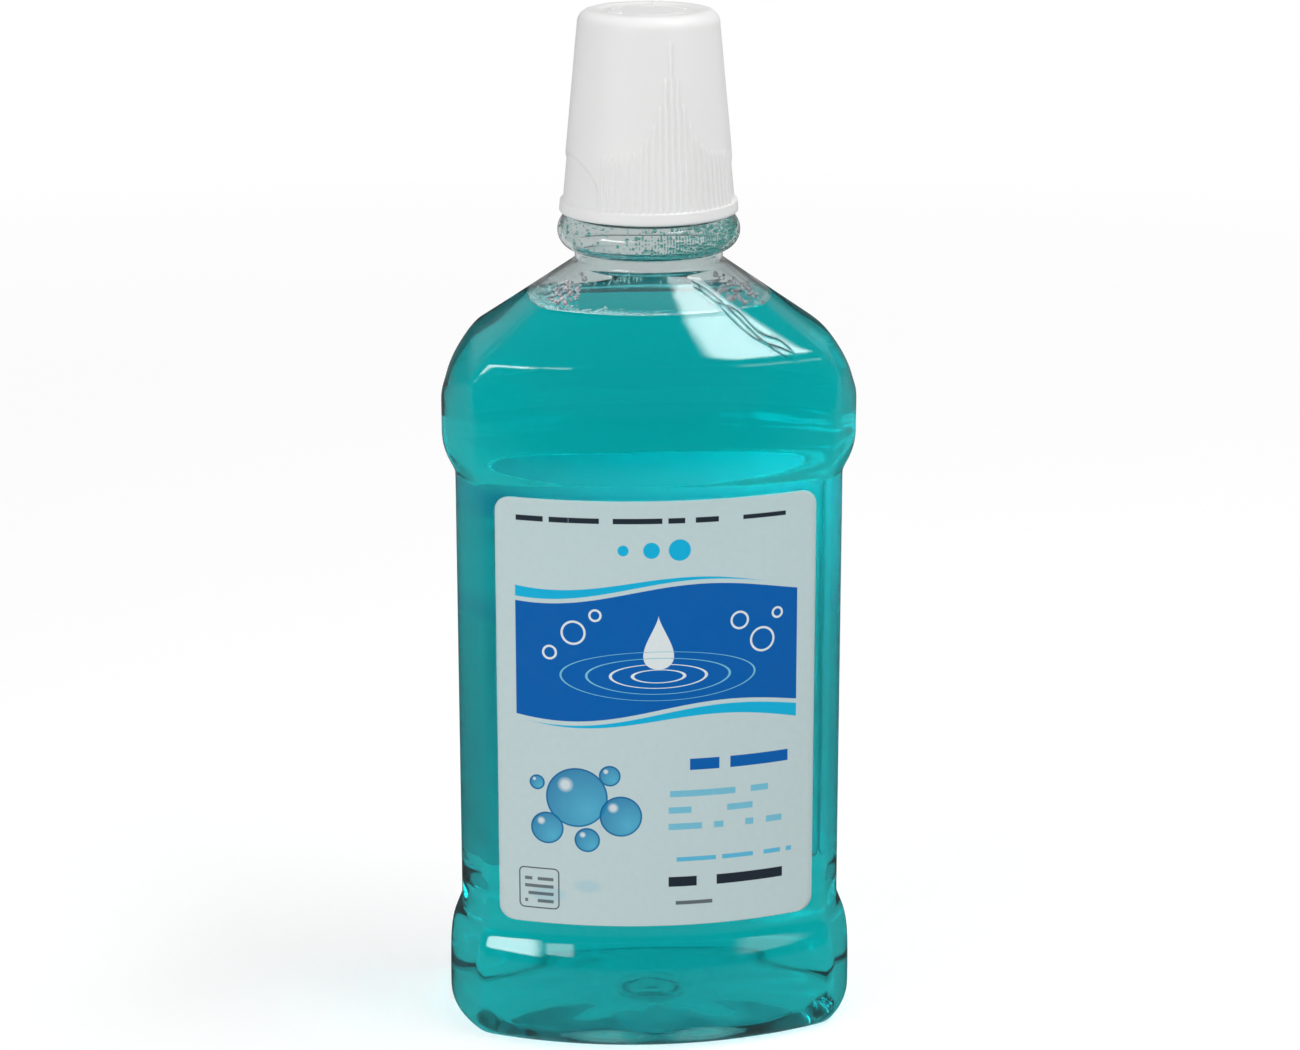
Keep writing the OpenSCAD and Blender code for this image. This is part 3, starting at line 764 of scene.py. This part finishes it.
# Reach of the floor's shadow in metres, and its own glow
FLOOR_NEAR, FLOOR_FAR, FLOOR_GLOW = 0.2, 1.0, 0.6


class Tree:
    """Node tree with short ways to add nodes."""

    def __init__(self, owner):
        owner.use_nodes = True
        self.nodes, self.links = owner.node_tree.nodes, owner.node_tree.links

    def add(self, kind, **props):
        node = self.nodes.new(kind)
        for k, v in props.items():
            setattr(node, k, v)
        return node

    def put(self, socket, value):
        if isinstance(value, bpy.types.NodeSocket):
            self.links.new(value, socket)
        else:
            socket.default_value = value

    def math(self, op, a, b=0.0, c=0.0, clamp=False):
        node = self.add("ShaderNodeMath", operation=op, use_clamp=clamp)
        for socket, value in zip(node.inputs, (a, b, c)):
            self.put(socket, value)
        return node.outputs[0]

    def plus(self, a, b):
        return self.math("ADD", a, b)

    def minus(self, a, b):
        return self.math("SUBTRACT", a, b)

    def times(self, a, b):
        return self.math("MULTIPLY", a, b)

    def line(self, x, slope, start, clamp=False):
        """Slope times x plus a start."""
        return self.math("MULTIPLY_ADD", x, slope, start, clamp)

    def size(self, a):
        return self.math("ABSOLUTE", a)

    def fill(self, node, **values):
        """Sets inputs of a node by name, with _ for a space, and gives the node back."""
        for k, v in values.items():
            self.put(node.inputs[k.replace("_", " ")], v)
        return node

    def split(self, vector):
        """Outputs X, Y and Z of a vector."""
        return self.fill(self.add("ShaderNodeSeparateXYZ"), Vector=vector).outputs

    def range(self, value, low, high, from_low=0.3, from_high=0.7, kind="LINEAR"):
        """From low to high while the value crosses its own range, and level outside it."""
        node = self.add("ShaderNodeMapRange", interpolation_type=kind)
        self.fill(node, Value=value, From_Min=from_low, From_Max=from_high, To_Min=low, To_Max=high)
        return node.outputs["Result"]

    def choose(self, a, b, switch):
        """The first value at 0 and the second from 1 up."""
        return self.range(switch, a, b, 0.0, 1.0)


class Material(Tree):
    """Node tree of one material."""

    def __init__(self, name):
        self.mat = bpy.data.materials.new(name)
        super().__init__(self.mat)
        self.bsdf = self.nodes["Principled BSDF"]
        self.out = self.nodes["Material Output"]

    def set(self, **values):
        self.fill(self.bsdf, **values)

    def noise(self, scale, detail=3.0, coords=None, dims="3D"):
        node = self.add("ShaderNodeTexNoise", noise_dimensions=dims)
        self.fill(node, Scale=scale, Detail=detail, Vector=coords or self.object_coords())
        return node.outputs["Fac"]

    def object_coords(self):
        if not hasattr(self, "coords"):
            self.coords = self.add("ShaderNodeTexCoord").outputs["Object"]
        return self.coords

    def blend(self, a, b, factor, mode="MIX"):
        node = self.fill(self.add("ShaderNodeMix", data_type="RGBA", blend_type=mode), Factor=factor)
        for socket, value in ((node.inputs["A"], a), (node.inputs["B"], b)):
            self.put(socket, (*value, 1) if isinstance(value, tuple) and len(value) == 3 else value)
        return node.outputs["Result"]

    def glow(self, strength):
        return self.fill(self.add("ShaderNodeEmission"), Strength=strength).outputs[0]

    def join(self, share, a, b):
        """Mix of two shaders, with a share of the second."""
        node = self.add("ShaderNodeMixShader")
        for socket, value in zip(node.inputs, (share, a, b)):
            self.put(socket, value)
        return node.outputs[0]

    def let_through(self, share, colour):
        """Makes a thin sheet pass a share of the light that falls on its other side."""
        thin = self.fill(self.add("ShaderNodeBsdfTranslucent"), Color=colour)
        self.put(self.out.inputs["Surface"], self.join(share, self.bsdf.outputs[0], thin.outputs[0]))

    def bump(self, height, strength, distance, under=None):
        node = self.add("ShaderNodeBump")
        self.fill(node, Strength=strength, Distance=distance, Height=height)
        if under is not None:
            self.put(node.inputs["Normal"], under)
        return node.outputs["Normal"]


def clear_plastic():
    """Clear plastic with faint waves and flow lines."""
    t = Material("clear_plastic")
    t.set(Base_Color=(0.8, 0.845, 0.84, 1), IOR=1.36, Transmission_Weight=1.0)
    t.set(Roughness=t.range(t.noise(60), 0.012, 0.04))
    waves = t.bump(t.noise(70, 1.0), 0.15, 0.0003)
    fine = t.bump(t.noise(900, 2.0), 0.04, 0.00005, waves)
    t.set(Normal=t.bump(flow_lines(t), 1.0, 0.0002, fine))
    return t.mat


# Flow lines in millimetres: how steeply they fall to the right, their level at the middle plane,
# and the sway, its length, its phase and the offset of each line
FLOW_FALL, FLOW_Z = 0.668, 161.6
FLOW_LINES = ((0.5, 9.0, 0.0, 0.1), (1.1, 26.0, 2.3, -0.5), (0.9, 17.0, 1.1, -1.1))


def flow_lines(t):
    """Hair-fine grooves that the blowing left on the right front of the shoulder."""
    place = t.split(t.object_coords())
    x = t.math("DIVIDE", place["X"], MM)
    z = t.math("DIVIDE", place["Z"], MM)
    down = t.minus(t.line(x, FLOW_FALL, z), FLOW_Z)
    total = 0.0
    for bend, length, phase, off in FLOW_LINES:
        sway = t.math("SINE", t.line(x, 2 * math.pi / length, phase))
        away = t.size(t.line(sway, bend, t.minus(down, off)))
        total = t.math("MAXIMUM", total, t.range(away, 1.0, 0.0, 0.03, 0.22))
    inside = t.times(t.range(x, 0.0, 1.0, 7.5, 9.0), t.range(x, 1.0, 0.0, 24.0, 28.0))
    front = t.range(place["Y"], 1.0, 0.0, -0.012, -0.01)
    return t.times(t.times(total, inside), t.times(front, -1.0))


def rinse_liquid():
    """Clear teal liquid that soaks up red over its depth."""
    t = Material("rinse")
    t.set(Base_Color=(1, 1, 1, 1), Roughness=0.0, IOR=1.333, Transmission_Weight=1.0)
    t.set(Specular_Tint=(0.1, 0.1, 0.1, 1))
    t.set(Normal=t.bump(t.noise(40, 1.0), 0.05, 0.0002))
    fog = t.fill(t.add("ShaderNodeVolumeAbsorption"), Color=(0.0, 0.95, 0.956, 1), Density=150.0)
    t.put(t.out.inputs["Volume"], fog.outputs[0])
    return t.mat


def wet_ball(name, colour, rough, ior, clear):
    """Liquid of a bubble or a drop, whose skin is a little uneven."""
    t = Material(name)
    t.set(Base_Color=colour, Roughness=rough, IOR=ior, Transmission_Weight=clear)
    t.set(Normal=t.bump(t.noise(1500, 1.0), 0.1, 0.00005))
    return t.mat


def white_plastic():
    """White moulded plastic with a soft shine."""
    t = Material("white_plastic")
    cloud = t.noise(60, 4.0)
    t.set(Base_Color=t.blend((0.82, 0.82, 0.815), (0.86, 0.86, 0.855), cloud))
    t.set(Roughness=t.range(t.noise(300, 3.0), 0.42, 0.54), Specular_IOR_Level=0.35)
    t.set(Subsurface_Weight=0.12, Subsurface_Scale=0.002, Subsurface_Radius=(1.0, 0.9, 0.8))
    grain = t.bump(t.noise(2600, 2.0), 0.12, 0.00006)
    t.set(Normal=t.bump(t.noise(120, 1.0), 0.12, 0.0003, grain))
    return t.mat


def seal_foam():
    t = Material("seal_foam")
    t.set(Base_Color=t.blend((0.72, 0.72, 0.7), (0.8, 0.8, 0.78), t.noise(800, 3.0)), Roughness=0.7)
    t.set(Normal=t.bump(t.noise(2500, 3.0), 0.4, 0.0001))
    return t.mat


class Print(Material):
    """Label print drawn in millimetres, u across and v up from the middle of the label."""

    def __init__(self, name, centre_z, side):
        super().__init__(name)
        place = self.split(self.object_coords())
        turned = self.math("DIVIDE", place["X"], -side * FRONT_R * MM)
        self.u = self.times(self.math("ARCSINE", turned), FRONT_R)
        self.v = self.line(place["Z"], 1 / MM, -centre_z)
        self.colour = PAPER

    def ink(self, distance, colour, strength=1.0, soft=0.09):
        """Lays a colour where a distance is below zero."""
        mask = self.line(distance, -1 / soft, 0.5, clamp=True)
        if strength != 1.0:
            mask = self.times(mask, strength)
        self.colour = self.blend(self.colour, colour, mask)

    def length(self, a, b):
        return self.math("SQRT", self.line(a, a, self.times(b, b)))

    def circle(self, cu, cv, r, flat=1.0):
        du = self.minus(self.u, cu)
        dv = self.times(self.minus(self.v, cv), 1 / flat)
        return self.minus(self.length(du, dv), r)

    def outline(self, distance, width):
        return self.minus(self.size(distance), width / 2)

    def box(self, cu, cv, w, h, r=0.3):
        du = self.minus(self.size(self.minus(self.u, cu)), w / 2 - r)
        dv = self.minus(self.size(self.minus(self.v, cv)), h / 2 - r)
        outside = self.length(self.both(du, 0.0), self.both(dv, 0.0))
        inside = self.math("MINIMUM", self.both(du, dv), 0.0)
        return self.minus(self.plus(outside, inside), r)

    def wave(self, level, height, length, phase):
        turn = self.line(self.u, 2 * math.pi / length, phase)
        return self.line(self.math("SINE", turn), height, level)

    def both(self, *distances):
        """Largest of some distances, which is below zero where all their areas meet."""
        total = distances[0]
        for d in distances[1:]:
            total = self.math("MAXIMUM", total, d)
        return total

    def bars(self, left, right, top, pitch, rows, height, word, seed, ragged=0.0):
        """Distance to rows of plain bars broken into lengths."""
        down = self.minus(top, self.v)
        row = self.math("FLOOR", self.math("DIVIDE", down, pitch))
        in_row = self.minus(down, self.line(row, pitch, pitch / 2))
        band = self.minus(self.size(in_row), height / 2)
        spot = self.add("ShaderNodeCombineXYZ")
        self.put(spot.inputs[0], self.math("DIVIDE", self.u, word))
        self.put(spot.inputs[1], self.line(row, 3.7, seed))
        gaps = self.minus(0.4, self.noise(1.0, 0.0, spot.outputs[0], "2D"))
        gaps = self.times(gaps, word * 2)
        area = self.box((left + right) / 2, top - rows * pitch / 2, right - left, rows * pitch, 0.05)
        found = self.both(band, gaps, area)
        if ragged:
            swing = self.math("SINE", self.line(row, 2.3, seed))
            end = self.line(swing, ragged, right - ragged)
            found = self.both(found, self.minus(self.u, end))
        return found

    def finish(self, rough_low, rough_high, through):
        """Gives the print its fibre, its roughness and a share of the light behind it."""
        fibre = self.noise(700, 4.0)
        tone = self.range(fibre, 0.985, 1.015)
        inked = self.blend(self.colour, tone, 1.0, "MULTIPLY")
        self.set(Base_Color=inked)
        self.let_through(through, inked)
        self.set(Roughness=self.range(self.noise(250), rough_low, rough_high), Specular_IOR_Level=0.2)
        creep = self.bump(self.noise(45, 1.0), 0.08, 0.0004)
        self.set(Normal=self.bump(fibre, 0.05, 0.00004, creep))
        return self.mat


# Share of the light behind it that a label film lets through, and that its denser front does
FILM_SHOWS_LIGHT, FRONT_SHOWS_LIGHT = 0.4, 0.05

# Paper and inks
PAPER = (0.585, 0.71, 0.72)
WHITE = (0.8, 0.86, 0.87)
DEEP_BLUE = (0.0, 0.125, 0.46)
CYAN = (0.005, 0.47, 0.76)
PALE_CYAN = (0.2, 0.56, 0.72)
MID_BLUE = (0.004, 0.2, 0.43)
EDGE_BLUE = (0.002, 0.12, 0.33)
BUBBLE_BLUE = (0.06, 0.44, 0.66)
DARK = (0.02, 0.03, 0.045)

# Plan of the front print in millimetres: the band with its waves and ribbons
BAND_HALF_W = 28.8
BAND_HEAD, BAND_FOOT = 25.4, 1.0
WAVE_H, WAVE_LENGTH = 2.1, 66
RIBBON_GAP = 0.9

# The drop, its ripples by radius and width, and rings by place and radius
DROP_V, DROP_HALF_H, DROP_W = 15.6, 5.6, 2.35
RIPPLE_V, RIPPLE_FLAT = 8.6, 0.26
RIPPLES = ((5.2, 0.7), (9.6, 0.6), (14.4, 0.5), (19.6, 0.4))
RINGS = (
    (-17, 17.5, 2.3), (-21.8, 13.2, 1.3), (-12.6, 21.2, 1.1),
    (16.4, 19.4, 1.7), (21.2, 15.0, 2.4), (24.4, 20.2, 1.0),
)

# Bubbles by place and radius, and the line over which they are reflected
BUBBLES = (
    (-16.5, -17.2, 6.3), (-7.6, -21.0, 4.3), (-22.6, -24.0, 3.4),
    (-9.8, -12.4, 2.2), (-24.6, -14.4, 1.6), (-14.4, -26.2, 2.6),
)
MIRROR_V = -31.2
MIRROR_LOWEST = -40


def print_band(p):
    """Blue band between two waves, with a ribbon along each of them."""
    over = p.minus(p.v, p.wave(BAND_HEAD, WAVE_H, WAVE_LENGTH, 0.7))
    under = p.minus(p.wave(BAND_FOOT, WAVE_H, WAVE_LENGTH, 0.2), p.v)
    sides = p.minus(p.size(p.u), BAND_HALF_W)
    band = p.both(over, under, sides)
    p.ink(band, DEEP_BLUE)
    for edge, slope, middle in ((over, -0.045, 0.95), (under, 0.05, 1.3)):
        width = p.line(p.u, slope, middle)
        beyond = p.minus(edge, p.plus(width, RIBBON_GAP))
        p.ink(p.both(p.minus(RIBBON_GAP, edge), beyond, sides), CYAN)
    return band


def print_drop(p, band):
    """Drop over its ripples, with rings on both sides."""
    y = p.math("DIVIDE", p.minus(p.v, DROP_V), DROP_HALF_H)
    y = p.math("MINIMUM", p.math("MAXIMUM", y, -1.0), 1.0)
    taper = p.math("POWER", p.minus(1.0, y), 1.5)
    width = p.times(p.math("SQRT", p.plus(1.0, y)), taper)
    across = p.minus(p.size(p.u), p.times(width, DROP_W))
    p.ink(p.both(across, p.minus(p.size(p.minus(p.v, DROP_V)), DROP_HALF_H - 0.05)), WHITE)
    for r, w in RIPPLES:
        ripple = p.outline(p.circle(0, RIPPLE_V, r, RIPPLE_FLAT), w)
        p.ink(p.both(ripple, p.plus(band, 0.6)), WHITE if r < 12 else PALE_CYAN)
    for cu, cv, r in RINGS:
        p.ink(p.outline(p.circle(cu, cv, r), 0.45), WHITE)


def print_bubbles(p):
    """Bubbles with a shine, the low ones with a pale reflection."""
    for cu, cv, r in BUBBLES:
        d = p.circle(cu, cv, r)
        shade = p.line(p.circle(cu + r * 0.35, cv - r * 0.45, 0), 0.62 / r, -0.05, clamp=True)
        p.ink(d, p.blend(BUBBLE_BLUE, MID_BLUE, shade), 0.93)
        p.ink(p.outline(p.plus(d, 0.2), 0.3), EDGE_BLUE, 0.8)
        p.ink(p.circle(cu - r * 0.36, cv + r * 0.42, r * 0.2), WHITE, 0.85, soft=r * 0.16)
        mirror_v = 2 * MIRROR_V - cv
        if mirror_v > MIRROR_LOWEST:
            p.ink(p.circle(cu, mirror_v, r, 0.5), PALE_CYAN, 0.28, soft=1.6)


def front_print():
    """Front label: bars, dots, a band with a drop, and bubbles."""
    p = Print("front_print", (label_low[2] + label_high[2]) / 2, -1)
    print_drop(p, print_band(p))

    # Head of the label: two runs of bars over three growing dots
    p.ink(p.bars(-28.5, 12, 41.6, 2, 1, 1.1, 4.2, 1.0), DARK)
    p.ink(p.bars(17, 28.5, 41.6, 2, 1, 0.9, 5, 7.0), DARK)
    for k in range(3):
        p.ink(p.circle(-7 + 5.6 * k, 34.6, 1.1 + 0.55 * k), CYAN)

    # Foot of the label: bubbles, rows of bars and a framed note
    print_bubbles(p)
    p.ink(p.bars(2, 27, -8.2, 4, 1, 2.4, 8, 3.0), DEEP_BLUE)
    p.ink(p.bars(2, 28, -14.6, 3.5, 3, 1.35, 5, 11.0, ragged=2.5), PALE_CYAN)
    p.ink(p.bars(2, 28, -29.4, 2, 1, 0.95, 4.6, 5.0), CYAN, 0.8)
    p.ink(p.bars(2, 26, -33.2, 4, 1, 2.1, 6.4, 9.0), DARK)
    p.ink(p.bars(2, 11, -38.8, 2, 1, 0.8, 4, 2.0), DARK, 0.8)
    p.ink(p.outline(p.box(-24.4, -37.2, 8.2, 8.6, 1.0), 0.28), DARK, 0.85)
    p.ink(p.bars(-27.4, -21.4, -34.4, 1.6, 4, 0.7, 4, 21.0), DARK, 0.75)
    return p.finish(0.3, 0.42, FRONT_SHOWS_LIGHT)


def back_print():
    """Back label: a heading, blocks of bars, a framed table and a panel of stripes."""
    p = Print("back_print", (back_low[2] + back_high[2]) / 2, 1)
    p.ink(p.box(0, 36.6, 58, 9.6, 1.2), DEEP_BLUE)
    p.ink(p.bars(-26, 20, 39.6, 3.2, 2, 1.5, 6, 4.0), WHITE)
    p.ink(p.bars(-28.5, 28.5, 29, 2.6, 5, 1.15, 5, 14.0, ragged=3), DARK, 0.85)
    p.ink(p.outline(p.box(0, 0.6, 57, 26, 0.8), 0.35), DARK)
    p.ink(p.box(0, 11.4, 57, 4.2, 0.1), MID_BLUE)
    p.ink(p.bars(-26.5, 26.5, 8.2, 2.6, 7, 1.0, 5, 31.0, ragged=4), DARK, 0.8)
    p.ink(p.bars(-28.5, 28.5, -15, 2.4, 5, 1.0, 4.6, 43.0, ragged=3), MID_BLUE, 0.9)
    wide, narrow = [p.math("SINE", p.times(p.u, pace)) for pace in (9.0, 5.3)]
    stripes = p.times(p.minus(0.1, p.plus(wide, narrow)), 0.1)
    p.ink(p.box(17, -35.2, 23, 14, 0.6), (0.8, 0.83, 0.83))
    p.ink(p.both(stripes, p.box(17, -35.2, 20, 12, 0.1)), DARK)
    p.ink(p.bars(-28.5, 2, -29.5, 2.6, 5, 1.1, 5, 57.0, ragged=3), DARK, 0.8)
    return p.finish(0.32, 0.45, FILM_SHOWS_LIGHT)


def label_back():
    """Glued side of a label, which the light of the room shines through."""
    t = Material("label_back")
    cloud = t.noise(400, 3.0)
    paper = t.blend((0.88, 0.9, 0.9), (0.92, 0.93, 0.93), cloud)
    t.set(Base_Color=paper, Roughness=0.6, Specular_IOR_Level=0.0)
    t.set(Normal=t.bump(cloud, 0.1, 0.0001))
    t.let_through(FILM_SHOWS_LIGHT, paper)
    return t.mat


def floor_paint():
    """Pale floor that keeps the shadow near the flask and runs into the white backdrop."""
    t = Material("floor_paint")
    t.set(Base_Color=(0.45, 0.45, 0.45, 1), Roughness=0.9, Specular_IOR_Level=0.0)
    light = t.add("ShaderNodeLightPath").outputs
    y = t.split(t.object_coords())["Y"]

    # What the flask shows and mirrors of it, and its light on matt surfaces
    inner = t.range(y, ROOM_FRONT, ROOM_BACK, -0.42, 0.0)
    rising = t.range(y, SHEEN_FLOOR, SHEEN_SWEEP, 0.2, 0.45)
    sheen = t.range(y, rising, SHEEN_FLOOR, 0.9, 1.6)
    mirrored = t.choose(sheen, inner, light["Transmission Depth"])
    seen = t.choose(ROOM_THROUGH, mirrored, light["Glossy Depth"])
    matt = t.choose(seen, ROOM_MATT, light["Diffuse Depth"])

    # What the camera sees: a shadow near the flask, and plain white far from it
    away = t.fill(t.add("ShaderNodeVectorMath", operation="LENGTH"), Vector=t.object_coords())
    far = t.range(away.outputs["Value"], 0.0, 1.0, FLOOR_NEAR, FLOOR_FAR)
    near = t.add("ShaderNodeAddShader")
    t.put(near.inputs[0], t.bsdf.outputs[0])
    t.put(near.inputs[1], t.glow(FLOOR_GLOW))
    shown = t.join(far, near.outputs[0], t.glow(1.0))
    t.put(t.out.inputs["Surface"], t.join(light["Is Camera Ray"], t.glow(matt), shown))
    return t.mat


def dress(ob, body, slot, materials, *nodes):
    """Gives a piece its materials and its body, and hides the nodes it stands for. The slot is not used."""
    for m in materials if isinstance(materials, tuple) else (materials,):
        ob.data.materials.append(m)
    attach(ob, body)
    if nodes:
        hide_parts(*nodes)


def set_down(name, data, azimuth, elevation, distance, roll=0.0):
    """Puts a camera or a lamp at angles from the flask's front, aimed at the target."""
    ob = bpy.data.objects.new(name, data)
    a, e = math.radians(azimuth), math.radians(elevation)
    way = Vector((math.sin(a) * math.cos(e), -math.cos(a) * math.cos(e), math.sin(e)))
    ob.location = Vector(TARGET) + distance * way
    ob.rotation_euler = (Vector(TARGET) - ob.location).to_track_quat("-Z", "Y").to_euler()
    if roll:
        turned = ob.rotation_euler.to_matrix() @ Matrix.Rotation(math.radians(roll), 3, "Z")
        ob.rotation_euler = turned.to_euler()
    bpy.context.scene.collection.objects.link(ob)
    return ob


def soft_edge(lamp):
    """Lets a lamp fade out towards its four edges."""
    t = Tree(lamp)
    place = t.split(t.add("ShaderNodeNewGeometry").outputs["Parametric"])
    fades = []
    for side in ("X", "Y"):
        away = t.math("PINGPONG", place[side], 0.5)
        fades.append(t.range(away, 0.0, 1.0, 0.0, LAMP_FADE, "SMOOTHSTEP"))
    t.fill(t.nodes["Emission"], Strength=t.times(*fades))


def softbox(name, azimuth, elevation, width, height, power):
    """Area lamp with soft edges."""
    lamp = bpy.data.lights.new(name, "AREA")
    lamp.shape = "RECTANGLE"
    lamp.size, lamp.size_y = width, height
    lamp.energy = power
    soft_edge(lamp)
    set_down(name, lamp, azimuth, elevation, LAMP_DISTANCE)


def make_world():
    """White for the camera, a dim room for mirroring surfaces and even light for matt ones."""
    world = bpy.data.worlds.new("studio")
    bpy.context.scene.world = world
    t = Tree(world)
    way = t.split(t.add("ShaderNodeTexCoord").outputs["Generated"])
    light = t.add("ShaderNodeLightPath").outputs
    wet = t.range(light["Transmission Depth"], DRY_BACK, ROOM_BACK, 4.0, 5.0)
    inner = t.range(way["Y"], ROOM_INNER, wet, -0.15, 0.3)
    rising = t.range(way["Z"], SHEEN_LOW, SHEEN_BACK, 0.07, 0.2)
    sheen = t.range(way["Z"], rising, SHEEN_TOP, 0.4, 0.7)
    outer = t.range(way["Y"], ROOM_FRONT, sheen, -0.15, 0.3)
    mirrored = t.choose(outer, inner, light["Transmission Depth"])
    seen = t.choose(ROOM_THROUGH, mirrored, light["Glossy Depth"])
    slant = t.line(way["X"], INSIDE_SLANT, way["Z"])
    soaked = t.range(slant, INSIDE_LOW, INSIDE_TOP, 0.1, 1.0)
    even = t.choose(ROOM_MATT, soaked, light["Transmission Depth"])
    matt = t.choose(seen, even, light["Diffuse Depth"])
    total = t.choose(matt, 1.0, light["Is Camera Ray"])
    t.fill(t.nodes["Background"], Color=(1, 1, 1, 1), Strength=total)


# Camera, as fitted to the photograph, in metres, degrees and millimetres of lens
TARGET = (0.0002, 0.0, 0.1035)
CAMERA_DISTANCE = 0.716
CAMERA_DOWN = 16.0
CAMERA_TURN = -4.2
CAMERA_ROLL = -0.05
CAMERA_LENS = 97.37

# Lamps: azimuth and elevation in degrees, width and height in metres, and power in watts. All
# stand at one distance, and their edges fade over a share of their size
LAMP_DISTANCE = 1.1
LAMP_FADE = 0.16
LAMPS = (
    ("strip_right", 72, 63, 0.72, 0.26, 8.0),
    ("box_left", -51, 12, 0.72, 0.22, 5.8),
    ("box_left_dim", -28, 16, 0.2, 0.2, 0.6),
    ("box_right", 50, 15, 0.9, 0.3, 1.8),
)


def make_camera():
    data = bpy.data.cameras.new("camera")
    data.sensor_width = 36.0
    data.lens = CAMERA_LENS
    data.clip_start = 0.01
    ob = set_down("camera", data, CAMERA_TURN, CAMERA_DOWN, CAMERA_DISTANCE, CAMERA_ROLL)
    bpy.context.scene.camera = ob


make_camera()
make_world()
for lamp in LAMPS:
    softbox(*lamp)

clear = clear_plastic()
bubble_film = wet_ball("bubble_film", (0.62, 0.78, 0.78, 1), 0.06, 1.25, 0.86)
drop_liquid = wet_ball("drop_liquid", (0.4, 0.85, 0.8, 1), 0.0, 1.333, 1.0)
froth = wet_ball("froth", (0.5, 0.46, 0.48, 1), 0.12, 1.3, 0.7)
glued = label_back()
dress(make_bottle(), "flask", "clear_plastic", clear, "bottle")
dress(lock_teeth(), "flask", "clear_plastic", clear)
dress(make_rinse(), "flask", "rinse", rinse_liquid(), "mouthwash")
rng = np.random.default_rng(SEED)
for make, look in ((make_foam, bubble_film), (make_droplets, drop_liquid), (make_clumps, froth)):
    dress(make(rng), "flask", "rinse", look)
front_film = make_label("front_film", label_low, label_high, -1)
back_film = make_label("back_film", back_low, back_high, 1)
dress(front_film, "flask", "front_print", (front_print(), glued), "front_label")
dress(back_film, "flask", "back_print", (back_print(), glued), "back_label")
dress(make_seal(), "seal", "seal_foam", seal_foam(), "seal_ring")
dress(make_cap(), "cap", "white_plastic", white_plastic(), "dosing_cap")

# Square floor, whose half side is in metres
FLOOR_HALF = 3.0
corners = np.array([(-1, -1, 0), (1, -1, 0), (1, 1, 0), (-1, 1, 0)])
floor = mesh_piece("floor", corners * FLOOR_HALF / MM, [[0, 1, 2, 3]], smooth_faces=False)
floor.data.materials.append(floor_paint())

scene = bpy.context.scene
scene.view_settings.view_transform = "Standard"
scene.cycles.max_bounces = 32
scene.cycles.transmission_bounces = 32
scene.cycles.glossy_bounces = 16
scene.cycles.diffuse_bounces = 8
scene.cycles.blur_glossy = 0.0
